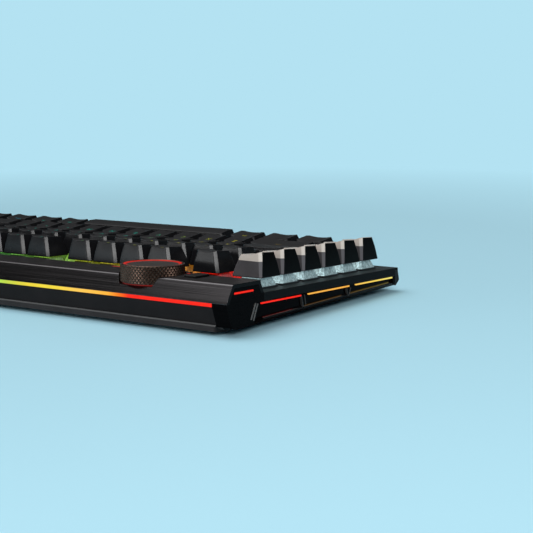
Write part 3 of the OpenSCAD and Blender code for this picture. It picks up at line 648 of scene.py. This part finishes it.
def cap_shell(caps, corner=(1.8, 1.7), fillet=0.45, swell=0.2):
    """Closed shells of a row of keycaps: dished top, rounded top edge, leaning sides that swell a little, cut
    corners, lower rim, inner wall and roof, in rings of points that follow the sloping top. The corner's size
    is given at the foot and at the top."""
    share = 1 - fillet / caps.height
    rings = []

    def level(xy, drop=0.0, hollow=0.0, f=1.0):
        x, y = xy[..., 0], xy[..., 1]
        z = (caps.plane(x, y) - drop) * f - caps.hollow(x, y) * hollow
        rings.append(np.concatenate([xy, z[..., None]], -1))

    flat = caps.side(share, fillet, corner[1] - fillet)
    for scale in (0.34, 0.68, 0.93, 1.0):
        level(flat * scale, hollow=1.0)
    for angle in EDGE_STEPS:
        inset = fillet * (1 - np.cos(angle))
        level(caps.side(share, inset, corner[1] - inset), fillet * (1 - np.sin(angle)), 1.0)
    for f, inset in ((0.5, -swell), (0.04, 0.0), (0.0, LOWER_RIM)):
        level(caps.side(f, inset, corner[0] + (corner[1] - corner[0]) * f - inset * 0.5), f=f)
    level(caps.side(0.0, CAP_WALL, INNER_CORNER), f=0.0)
    roof = caps.side(0.7, CAP_WALL, INNER_CORNER)
    level(roof, CAP_ROOF)
    level(roof * 0.3, CAP_ROOF)
    place = np.stack([caps.x, caps.y, np.full(caps.count, CAP_LIFT)], 1)
    points = np.stack(rings, 1) + place[:, None, None, :]
    return points, ring_faces(caps.count, len(rings), len(CAP_PLAN))


def plain_caps(r):
    """Keycaps of one row."""
    return Caps(KEYS[r], row_y(r), CAP_HEIGHT[r], CAP_DROP[r])


def macro_caps(r):
    """The macro keycap beside one row."""
    return Caps(MACRO_KEYS, macro_y(r), MACRO_HEIGHT, MACRO_DROP, MACRO_END_LEANS, MACRO_FALL, MACRO_WIDER)


def row_caps():
    """Keycaps of the six rows and the six macro keys."""
    for r, name in enumerate(ROWS):
        shell = cap_shell(plain_caps(r))
        piece = mesh_piece(name + "_keycaps", *shell, name + "_row", keycap_black, "keycap")
        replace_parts(even_shade(piece), name + "_caps")
        body = "macro_key_%d" % (r + 1)
        shell = cap_shell(macro_caps(r), (1.3, 1.8))
        piece = mesh_piece(body + "_keycap", *shell, body, macro_two_tone, "macro_cap")
        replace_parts(even_shade(piece), "macro_cap_%d" % (r + 1))


# Switches under the caps


def all_keys():
    """Middles of every key, the macro column first, in deck millimetres."""
    rows = range(len(ROWS))
    x = [np.full(len(ROWS), MACRO_X * PITCH)] + [plain_caps(r).x for r in rows]
    y = [macro_y(np.arange(len(ROWS)))] + [plain_caps(r).y for r in rows]
    return np.concatenate(x), np.concatenate(y)


def switch_covers():
    """Clear switch covers: rings of an eight-sided outline from the flange up the leaning walls, over a
    rounded shoulder, down the slider's opening and back along the inside. Each ring has a half width, a half
    depth, a height and a corner."""
    x, y = all_keys()
    levels = [(6.2, 6.2, 0.8, 1.0), (4.9, 4.8, 4.4, 0.6), (3.95, 3.15, 4.4, 0.3), (3.95, 3.15, 6.45, 0.3),
              (4.15, 3.35, 6.6, 0.4), (4.9, 4.85, 6.6, 0.8), (5.3, 5.2, 6.2, 1.0), (7.2, 7.1, 1.6, 1.1),
              (7.5, 7.5, 1.45, 1.2), (7.5, 7.5, 0.8, 1.2)]
    one = np.stack([at_height(outline(COVER_PLAN, w, d, c), z) for w, d, z, c in levels])
    place = np.stack([x, y, np.zeros_like(x)], 1)
    points = place[:, None, None, :] + one[None]
    faces = ring_faces(len(x), len(levels), len(COVER_PLAN), "joined")
    piece = mesh_piece("clear_switch_covers", points, faces, "chassis", switch_clear, "clear_housing", False)
    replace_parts(piece, "switch_covers")


# Turned pieces: wheel, button in it, roller

KNURL_EDGE, TURNED_EDGE = math.radians(24), math.radians(40)


def triangle(t):
    """Triangle wave of period 1 between 0 and 1."""
    return 1 - np.abs(2 * (t - np.floor(t)) - 1)


def turned(profile, around):
    """A profile of (radius, height) carried round the Z axis: rings by points, in millimetres."""
    a = np.linspace(0, 2 * np.pi, around, endpoint=False)
    r, z = np.asarray(profile, float).T
    return np.stack([r[:, None] * np.cos(a), r[:, None] * np.sin(a), z[:, None] + 0 * a], -1)


def turned_piece(name, points, faces, at, body, finish, slot, edge, node):
    """A turned piece set at its place, sharp where its faces meet by more than an angle, for a node."""
    piece = mesh_piece(name, points + at, faces, body, finish, slot)
    piece.data.set_sharp_from_angle(angle=edge)
    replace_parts(piece, node)


def knurled_wall(teeth, fine, tall, cut, high, low):
    """Outer wall of the wheel, cut by two crossing sets of slanting grooves.

    Every other ring is turned by half a step, so that grooves and ridges run along edges. A point's depth is
    the lesser of two triangle waves, one along each slant, which leaves diamonds with blunt tips. Each cell
    of a left, a right, a top and a foot point is folded along its higher diagonal.
    """
    blunt = 1.15
    rows, around = round(2 * fine * tall), teeth * fine
    q, j = np.arange(rows + 1)[:, None], np.arange(around)[None, :]
    step = 2 * j + q % 2
    tooth = np.minimum(triangle((step + q) / (2 * fine)), triangle((step - q) / (2 * fine)))
    r, a = WHEEL_R - cut * (1 - np.minimum(1, blunt * tooth)), step * np.pi / around
    points = np.stack([r * np.cos(a), r * np.sin(a), high + (low - high) * q / rows + 0 * a], -1)
    number = q * around + j
    beside = q * around + (j + 1) % around
    between = (j + q % 2) % around
    top, foot = (q - 1) * around + between, (q + 1) * around + between
    height = np.append(tooth.ravel(), np.zeros(around))
    flat = height[number] + height[beside] >= height[top] + height[foot % len(height)]
    inside = (q > 0) & (q < rows) & (j >= 0)

    def corners(where, *names):
        return np.stack([n[where] for n in np.broadcast_arrays(*names)], -1).tolist()

    faces = corners(inside & flat | (q == 0) & (j >= 0), number, foot, beside)
    faces += corners(inside & flat | (q == rows) & (j >= 0), number, beside, top)
    faces += corners(inside & ~flat, number, foot, top) + corners(inside & ~flat, foot, beside, top)
    return points, faces


def knurled_rim():
    """Wheel rim: a profile round the wheel's axis that goes up the bore, over the top, down the knurled wall
    and back along the underside."""
    teeth, fine, tall, cut, bore, well = 52, 4, 3.5, 0.6, 4.16, 15.0
    wall, diamonds = knurled_wall(teeth, fine, tall, cut, WHEEL_TOP - 0.45, WHEEL_LOW + 0.5)
    around = teeth * fine
    upper = turned([(bore, 6.0), (7.0, 6.0), (7.0, 4.3), (well, 4.3), (well, WHEEL_TOP - 0.15),
                    (well + 0.15, WHEEL_TOP), (WHEEL_R - 0.62, WHEEL_TOP),
                    (WHEEL_R - 0.3, WHEEL_TOP - 0.2)], around)
    lower = turned([(WHEEL_R - 0.6, WHEEL_LOW), (bore, WHEEL_LOW)], around)
    rings = np.concatenate([upper, wall, lower])
    plain = ring_faces(1, len(rings), around, "joined")
    first, last = len(upper) * around, (len(upper) + len(wall) - 1) * around
    faces = plain[:first] + plain[last:] + [[i + first for i in face] for face in diamonds]
    turned_piece("wheel_knurled_rim", rings, faces, WHEEL_AT, "control_wheel", wheel_metal, "wheel_metal",
                 KNURL_EDGE, "wheel_rim")


def dished_button():
    """Button in the wheel: a dish whose height grows with the square of the radius and has a fine ripple, a
    rolled edge, a skirt and a guide pin, carried round the wheel's axis."""
    middle, reach, low, rise, ripple, spacing, around = 0.4, 12.6, 9.95, 1.15, 0.012, 1.22, 96
    r = np.linspace(middle, reach, 22)
    dish = np.stack([r, low + rise * (r / reach) ** 2 + ripple * np.cos(r * 2 * np.pi / spacing)], 1)
    profile = np.concatenate([dish, [(13.0, 11.15), (13.35, 11.1), (13.6, 10.85), (13.6, 8.3), (13.5, 8.2),
                                     (2.45, 8.2), (2.45, 1.8), (2.25, 1.6), (middle, 1.6)]])
    faces = ring_faces(1, len(profile), around)
    turned_piece("wheel_dished_button", turned(profile, around), faces, WHEEL_AT, "wheel_button", spun_dark,
                 "button_metal", TURNED_EDGE, "wheel_button")


def ribbed_roller():
    """Volume roller: a barrel with ribs along its length, its radius a triangle wave of the angle, and
    chamfered ends with an axle, carried round the roller's axis along X."""
    ribs, steps, groove, blunt = 52, 6, 0.5, 1.6
    profile = np.array([(1.0, 11.0), (1.5, 10.8), (1.5, 8.0), (5.6, 8.0), (6.0, 7.6), (6.6, 7.6), (7.0, 8.0),
                        (7.3, 8.0), (ROLLER_R, 7.3), (ROLLER_R, -7.3), (7.3, -8.0), (7.0, -8.0),
                        (6.6, -7.6), (6.0, -7.6), (5.6, -8.0), (1.5, -8.0), (1.5, -10.8), (1.0, -11.0)])
    grid = turned(profile, ribs * steps)
    wave = np.minimum(1, blunt * triangle(np.linspace(0, ribs, ribs * steps, endpoint=False)))
    cut = np.where(profile[:, 0] == ROLLER_R, groove, 0.0)[:, None] * (1 - wave)[None, :]
    grid[..., :2] *= (1 - cut / ROLLER_R)[..., None]
    lying = np.stack([grid[..., 2], grid[..., 0], grid[..., 1]], -1)
    faces = ring_faces(1, len(profile), ribs * steps)
    turned_piece("roller_ribbed", lying, faces, ROLLER_AT, "volume_roller", wheel_metal, "wheel_metal",
                 KNURL_EDGE, "volume_roller")


# Small buttons

PAD_PLAN = outline_plan(2, 1, 2, 2)
# Corner and rounding of a pad and of the plunger under it
PAD_EASE, PLUNGER_EASE = (1.3, 0.6), (0.5, 0.2)


def media_x(i):
    """Middle of a media key, across the keyboard."""
    return (MEDIA_X + i) * PITCH


def pad_shell(at, half, low, high, corner, fillet):
    """A low button: rings of a rounded rectangle over its flat top, its rounded top edge and its side."""
    def ring(inset, z, scale=1.0):
        xy = outline(PAD_PLAN, half[0] - inset, half[1] - inset, corner - inset)
        return at_height(xy * scale, z)

    rings = [ring(fillet, high, scale) for scale in (0.35, 0.7, 1.0)]
    rings += [ring(fillet * (1 - math.cos(t)), high - fillet * (1 - math.sin(t))) for t in EDGE_STEPS]
    return np.stack(rings + [ring(0.0, low)]) + np.array([*at, 0])


def small_button(name, body, finish, slot, at, half, low, high, plunger, plunger_low):
    """A pad on a short plunger, which stands for the node that has its body's name."""
    points = np.stack([pad_shell(at, half, low, high, *PAD_EASE),
                       pad_shell(at, plunger, plunger_low, low + 0.2, *PLUNGER_EASE)])
    piece = mesh_piece(name, points, ring_faces(2, points.shape[1], points.shape[2]), body, finish, slot)
    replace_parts(even_shade(piece), body)


def small_buttons():
    """Media keys, and the profile button on the bar."""
    for i in range(1, 5):
        body = "media_key_%d" % i
        small_button(body + "_pad", body, keycap_black, "keycap", (media_x(i), FIRST_ROW_Y), MEDIA_HALF,
                     MEDIA_FOOT, MEDIA_TOP, (2.8, 1.8), -2.4)
    small_button("profile_pad", "profile_button", pad_black, "gloss_black", (-202.5, 62.1), (4.1, 5.7),
                 4.5, 7.7, (1.5, 1.5), 1.6)


# Side trims: the keyboard's outer side, and the inner end of the bars on it

OUT, BAR_ROOT = BODY_HALF, BODY_HALF - 1.8


def under(y, height):
    """Level on the deck of a point at a height above the desk."""
    return (height - DECK_LIFT - y * math.sin(TILT)) / math.cos(TILT)


def both_hands(points, faces):
    """A right-hand shell and its mirror image on the left, whose faces are turned round."""
    points = np.asarray(points).reshape(-1, 3)
    return gather([(points, faces), (points * [-1, 1, 1], [f[::-1] for f in faces])])


def carried(sections, ends):
    """A section across the keyboard carried from the front to the rear: its two ends as rings of points."""
    rings = [np.c_[s[:, 0], np.broadcast_to(y, len(s)), s[:, 1]] for s, y in zip(sections, ends)]
    return np.stack(rings), ring_faces(1, 2, len(sections[0]))


def rail():
    """Right-hand rail: a section with a groove for the light, carried from the front to the slanting rear
    end, level with the deck above and with the desk below."""
    groove, inner, rear_foot, rear_top, slant = OUT - 1.4, OUT - 5.5, 57.9, 52.8, 0.47

    def section(low):
        corners = [(inner, low), (OUT - 0.8, low), (OUT, low + 1.4), (groove, low + 2.8),
                   (groove, GROOVE_TOP), (OUT, GROOVE_TOP), (OUT, RAIL_TOP), (inner, RAIL_TOP)]
        return rounded(corners, (0.1, 0.5, 0.5, 0.4, 0.1, 0.2, 0.1, 0.1))

    front, rear = section(under(RAIL_FRONT, SKIRT)), section(under(rear_foot, SKIRT))
    return carried((front, rear), (RAIL_FRONT, rear_top + (RAIL_TOP - rear[:, 1]) * slant))


def rail_lip():
    """Right-hand gloss strip on the rail's lower lip, which mirrors the light above it: a section carried
    from the front to the rear, level with the desk."""
    ends, inner, outer = (-76.4, 50.0), OUT - 1.5, OUT - 0.15
    section = np.array([(inner, 2.4), (outer, 1.3), (outer, 1.88), (inner, 2.95)])
    return carried([section + [0, under(y, SKIRT)] for y in ends], ends)


def bar_on_side(corners, outer, fillet, corner):
    """Right-hand bar that stands on the side: its outline front to rear and up, drawn out along X, the outer
    edge rounded by rings moved in along the outline's normals."""
    flat = rounded(corners, corner)
    along = np.roll(flat, -1, 0) - np.roll(flat, 1, 0)
    inward = np.stack([-along[:, 1], along[:, 0]], 1) / np.linalg.norm(along, axis=1, keepdims=True)
    rings = []
    for angle in np.radians([90, 45, 0]):
        yz = flat + inward * fillet * (1 - math.cos(angle))
        rings.append(np.c_[np.full(len(yz), outer - fillet * (1 - math.sin(angle))), yz])
    rings.append(np.c_[np.full(len(flat), BAR_ROOT), flat])
    return np.stack(rings), ring_faces(1, len(rings), len(flat))


def slanted(top, foot, width):
    """Corners of a bar from its top to its foot, counter-clockwise seen from the right."""
    return [(foot[0] - width / 2, foot[1]), (foot[0] + width / 2, foot[1]), (top[0] + width / 2, top[1]),
            (top[0] - width / 2, top[1])]


# Ribs of the rail: rear and front edge as top and foot, front to rear and up
RIBS = [[((17.0, -5.1), (15.5, -10.5)), ((14.2, -5.1), (12.8, -10.5))],
        [((-26.2, -6.2), (-27.4, -9.8)), ((-30.2, -6.2), (-28.8, -9.8))]]
# Joints between the rail and the end cap, where grey strips stand as painted highlights: top, foot and width
JOINTS = [((56.9, -4.4), (60.7, -12.5), 1.5), ((55.1, -4.8), (58.7, -13.2), 1.3)]


def side_trims():
    """Rails with their ribs in gloss black, and thin grey strips on the edges of ribs and joints as painted
    highlights, on both sides.
    """
    front, behind, foot, top = RAIL_FRONT, -74.4, under(RAIL_FRONT, SKIRT) + 0.5, -4.6
    black, dark, grey = [rail()], [], []
    for rear_edge, front_edge in RIBS:
        corners = [front_edge[1], rear_edge[1], rear_edge[0], front_edge[0]]
        black.append(bar_on_side(corners, OUT - 0.5, 0.2, 0.2))
        # Painted highlights: a thin grey strip on each edge of the rib, and a grey dot at its rear foot
        for edge in (rear_edge, front_edge):
            dark.append(bar_on_side(slanted(*edge, 0.55), OUT - 0.08, 0.2, 0.2))
        y, z = rear_edge[1][0] - 0.3, rear_edge[1][1]
        dark.append(bar_on_side(slanted((y, z + 0.1), (y, z - 0.9), 1.0), OUT - 0.05, 0.3, 0.3))
    end = [(front, foot), (behind, foot), (behind, top), (front, top)]
    black.append(bar_on_side(end, OUT, 0.3, 0.3))
    # Painted highlights: grey strips along the joints of rail and end cap
    for joint in JOINTS:
        grey.append(bar_on_side(slanted(*joint), OUT + 0.12, 0.3, 0.4))
    for name, parts, finish in (("rails", black, trim_gloss), ("lips", [rail_lip()], lip_gloss),
                                ("ribs", dark, rib_highlight_grey), ("joints", grey, joint_highlight_grey)):
        points, faces = both_hands(*gather(parts))
        piece = mesh_piece("side_trim_" + name, points, faces, "chassis", finish, "gloss_black")
        even_shade(piece)
        if parts is black:
            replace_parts(piece, "side_trims")


# Legends of each row, left to right; two spaces leave a key bare

LEGENDS = [row.split(" ") for row in (
    "Esc F1 F2 F3 F4 F5 F6 F7 F8 F9 F10 F11 F12 PrtSc ScrLk Pause",
    "~\n` !\n1 @\n2 #\n3 $\n4 %\n5 ^\n6 &\n7 *\n8 (\n9 )\n0 _\n- +\n= Backspace Ins Home PgUp Num / * -",
    "Tab Q W E R T Y U I O P {\n[ }\n] |\n\\ Del End PgDn 7 8 9 +",
    "Caps A S D F G H J K L :\n; \"\n' Enter 4 5 6",
    "Shift Z X C V B N M <\n, >\n. ?\n/ Shift up 1 2 3 Enter",
    "Ctrl  Alt  Alt Fn Menu Ctrl left down right 0 .")]
ARROW_TURN = {"up": 0, "left": 90, "down": 180, "right": 270}
# How far a legend stands above the cap's top, and how deep it goes in
LEGEND_RISE, LEGEND_SINK = 0.03, 0.06
# Sizes of a pair of signs, one sign, a short word and a long one; places of a pair and the others on the cap
PAIR, SIGN, SHORT_WORD, LONG_WORD = 3.0, 4.4, 2.7, 2.3
PAIR_REAR, SIGN_REAR = 1.2, 3.0


def letters(text, size):
    """Outline letters as a thin solid, made a mesh before it is placed: points in millimetres and faces."""
    curve = bpy.data.curves.new("letters", "FONT")
    curve.body, curve.size, curve.resolution_u, curve.extrude = text, size, 1, 0.5
    curve.align_x, curve.align_y = "CENTER", "CENTER"
    curve.space_line = 0.95
    obj = put("letters", curve)
    mesh = bpy.data.meshes.new_from_object(obj.evaluated_get(bpy.context.evaluated_depsgraph_get()))
    points = np.zeros(len(mesh.vertices) * 3)
    mesh.vertices.foreach_get("co", points)
    faces = [list(p.vertices) for p in mesh.polygons]
    bpy.data.objects.remove(obj)
    bpy.data.curves.remove(curve)
    bpy.data.meshes.remove(mesh)
    return points.reshape(-1, 3), faces


def plate(corners):
    """A flat sign as a thin solid, from its corners counter-clockwise."""
    c = np.asarray(corners, float)
    n = len(c)
    points = np.concatenate([at_height(c, 0.5), at_height(c, -0.5)])
    i = np.arange(n)
    j = (i + 1) % n
    sides = np.stack([i, i + n, j + n, j], 1).tolist()
    return points, [i.tolist(), (i[::-1] + n).tolist()] + sides


def arrow(degrees):
    """Arrow of a head and a shaft, turned to its direction."""
    c = np.array([(0, 2.1), (-1.7, 0.2), (-0.45, 0.2), (-0.45, -2.0), (0.45, -2.0), (0.45, 0.2), (1.7, 0.2)])
    a = math.radians(degrees)
    return plate(c @ np.array([[math.cos(a), math.sin(a)], [-math.sin(a), math.cos(a)]]))


def legend(caps, i, text):
    """A legend laid on cap i: its points follow the dished, sloping top."""
    pair = "\n" in text
    if text in ARROW_TURN:
        p, faces = arrow(ARROW_TURN[text])
    else:
        word = SIGN if len(text) == 1 else SHORT_WORD if len(text) < 4 else LONG_WORD
        p, faces = letters(text, PAIR if pair else word)
    x, y = p[:, 0], p[:, 1] + caps.shift + (PAIR_REAR if pair else SIGN_REAR)
    top = caps.plane(x[None], y[None])[i] - caps.hollow(x[None], y[None])[i]
    z = CAP_LIFT + top + np.where(p[:, 2] > 0, LEGEND_RISE, -LEGEND_SINK)
    return np.stack([x + caps.x[i], y + caps.y[i], z], 1), faces


def legends():
    """Legends of each row as one piece on the row's body, one for each macro key, and the media signs."""
    for r, name in enumerate(ROWS):
        caps = plain_caps(r)
        points, faces = gather([legend(caps, i, t) for i, t in enumerate(LEGENDS[r]) if t])
        mesh_piece(name + "_legends", points, faces, name + "_row", legend_glow, "lamp", False)
        body = "macro_key_%d" % (r + 1)
        points, faces = legend(macro_caps(r), 0, "M%d" % (r + 1))
        mesh_piece(body + "_legend", points, faces, body, legend_glow, "lamp", False)
    bar = np.array([(-0.35, -1.6), (0.35, -1.6), (0.35, 1.6), (-0.35, 1.6)])
    tip = np.array([(-1.2, -1.6), (1.2, 0), (-1.2, 1.6)])
    square = np.array([(-1.4, -1.4), (1.4, -1.4), (1.4, 1.4), (-1.4, 1.4)])
    back = (tip * [-1, 1])[::-1]
    signs = [[square], [bar - [1.7, 0], back + [0.3, 0]], [tip - [1.3, 0], bar + [0.9, 0], bar + [2.1, 0]],
             [tip - [0.3, 0], bar + [1.7, 0]]]
    for i, shapes in enumerate(signs, 1):
        p, faces = gather([plate(s) for s in shapes])
        z = MEDIA_TOP + np.where(p[:, 2] > 0, LEGEND_RISE, -LEGEND_SINK)
        points = np.stack([p[:, 0] + media_x(i), p[:, 1] + FIRST_ROW_Y, z], 1)
        body = "media_key_%d" % i
        mesh_piece(body + "_sign", points, faces, body, legend_glow, "lamp", False)


# Dressing of the carried-over nodes

DRESS = {
    case_black: ["rear_panel", "left_tilt_foot", "right_tilt_foot"],
    tray_black: ["base_tray"],
    deck_metal: ["bar_cover"],
    plate_metal: ["deck_plate"],
    trim_gloss: ["end_caps", "side_trims", "profile_button"],
    rear_glow: ["rear_light"],
    edge_glow: ["edge_lights"],
    red_glow: ["status_light", "wheel_glow_ring"],
    under_glow: ["wheel_light_ring"],
    board_green: ["main_board", "bar_board"],
    chip_black: ["board_chips", "tact_switches", "wheel_encoder", "roller_bracket"],
    switch_dark: ["switch_bases", "stabiliser_clips"],
    switch_clear: ["switch_covers"],
    steel: ["return_springs", "stabiliser_wires", "case_screws"],
    lamp_glow: ["key_leds"],
    rubber_black: ["rubber_feet", "cable_gland"],
    wheel_metal: ["wheel_rim", "volume_roller"],
    spun_dark: ["wheel_button"],
    macro_two_tone: ["macro_cap_%d" % i for i in range(1, 7)],
    keycap_black: [r + "_caps" for r in ROWS] + ["media_key_%d" % i for i in range(1, 5)],
    stem_grey: [r + "_stems" for r in ROWS] + ["macro_stem_%d" % i for i in range(1, 7)],
}
for finish, names in DRESS.items():
    for name in names:
        nodes[name].data.materials.clear()
        nodes[name].data.materials.append(finish.mat)

# Rounding of hard edges, in millimetres
EDGES = {"bar_cover": 0.3, "rear_panel": 0.4, "end_caps": 0.45, "base_tray": 0.9, "deck_plate": 0.3,
         "rear_light": 0.25, "edge_lights": 0.2, "left_tilt_foot": 0.6, "right_tilt_foot": 0.6,
         "rubber_feet": 0.4}
for node, width in EDGES.items():
    soften(node, width)

row_caps()
switch_covers()
knurled_rim()
dished_button()
ribbed_roller()
small_buttons()
side_trims()
legends()


# Stage

# Floor: its colour, how much of it the paint has, and where the paint gives way to the plain colour
PALE, FLOOR_SHADE, FLOOR_BLEND = srgb(180, 226, 242), 0.9, (0.4, 0.85)
# The world's bright direction, and its brightness by how near to that a direction lies
DOME_AXIS = (0.33, 0.14, 0.93)
DOME_LIGHT = [(0.0, 0.02), (0.8, 0.02), (0.838, 0.07), (0.852, 0.45), (0.866, 1.5), (0.92, 2.4), (1.0, 3.7)]
# Camera: place on the deck in millimetres, direction, and focal length in pixels of the photograph's frame
CAMERA_AT = (-626.45, 592.85, 93.7)
CAMERA_AZ, CAMERA_EL, CAMERA_ROLL = math.radians(215.70), math.radians(6.89), math.radians(0.33)
FOCAL_PX, FRAME_PX = 1374.9, 533.0


def place_camera():
    """Camera at its place on the deck, turned by its roll, elevation and azimuth, then by the deck's tilt."""
    data = bpy.data.cameras.new("photo_camera")
    data.sensor_width = 36.0
    data.lens = FOCAL_PX / FRAME_PX * data.sensor_width
    data.clip_start, data.clip_end = 0.01, 100.0
    place = Matrix.Translation(deck(CAMERA_AT))
    for angle, axis in ((TILT, "X"), (CAMERA_AZ, "Z"), (math.pi / 2 - CAMERA_EL, "X"), (CAMERA_ROLL, "Z")):
        place = place @ Matrix.Rotation(angle, 4, axis)
    scene.camera = put("photo_camera", data)
    scene.camera.matrix_world = place


def panel(name, at, aim, width, height, glow):
    """A soft light panel at a place, turned to its aim; glow is its brightness, where white paper has 1."""
    data = bpy.data.lights.new(name, "AREA")
    data.shape, data.size, data.size_y = "RECTANGLE", width, height
    data.energy = glow * math.pi * width * height
    obj = put(name, data)
    obj.location = at
    obj.rotation_euler = (Vector(aim) - Vector(at)).to_track_quat("-Z", "Y").to_euler()


def floor_and_backdrop():
    """A wide pale floor that ends in a low pale wall all round: rings of points about the object. Near the
    object the floor takes light and shadow; far off it shows its plain colour."""
    rings, around = [(0.5, 0.0), (3.0, 0.0), (7.0, 0.0), (8.0, 0.12), (8.2, 0.85)], 96
    mesh = bpy.data.meshes.new("floor")
    faces = [f[::-1] for f in ring_faces(1, len(rings), around, "open")] + [list(range(around))]
    mesh.from_pydata(turned(rings, around).reshape(-1, 3).tolist(), [], faces)
    obj = put("floor", mesh)
    paint = tuple(FLOOR_SHADE * c for c in PALE[:3]) + (1.0,)
    f = Finish("floor_pale", Roughness=0.9, Specular_IOR_Level=0.0, Base_Color=paint)
    glow = f.add("ShaderNodeEmission", Color=PALE)
    blend = f.add("ShaderNodeMixShader")
    f.join(f.spread(f.length(f.where), *FLOOR_BLEND), blend.inputs["Fac"])
    f.join(f.shader.outputs["BSDF"], blend.inputs[1]).join(glow.outputs["Emission"], blend.inputs[2])
    f.join(blend.outputs["Shader"], f.tree.nodes["Material Output"].inputs["Surface"])
    mesh.materials.append(f.mat)


def studio_light():
    """Soft light from above, from the right and the rear: the world's brightness grows towards one
    direction, and three panels give the edges and faces their sheen."""
    scene.world = bpy.data.worlds.new("studio")
    world = Nodes(scene.world, "Background")
    part = world.add("ShaderNodeVectorMath", operation="DOT_PRODUCT")
    part.inputs[1].default_value = Vector(DOME_AXIS).normalized()
    world.join(world.add("ShaderNodeTexCoord").outputs["Generated"], part.inputs[0])
    world.join(world.ramp(part.outputs["Value"], [(at, (level,) * 3) for at, level in DOME_LIGHT]), "Color")
    panel("rear_panel_light", (0.65, 1.43, 0.26), (-0.15, 0.05, 0.02), 0.66, 0.46, 4.5)
    panel("edge_streak_light", (-1.15, 0.97, 0.62), (-0.15, 0.04, 0.02), 0.6, 0.4, 17.0)
    panel("front_fill_light", (0.1, -1.6, 1.2), (0, 0, 0), 1.2, 1.0, 0.9)


floor_and_backdrop()
studio_light()
place_camera()
scene.view_settings.view_transform = "Standard"
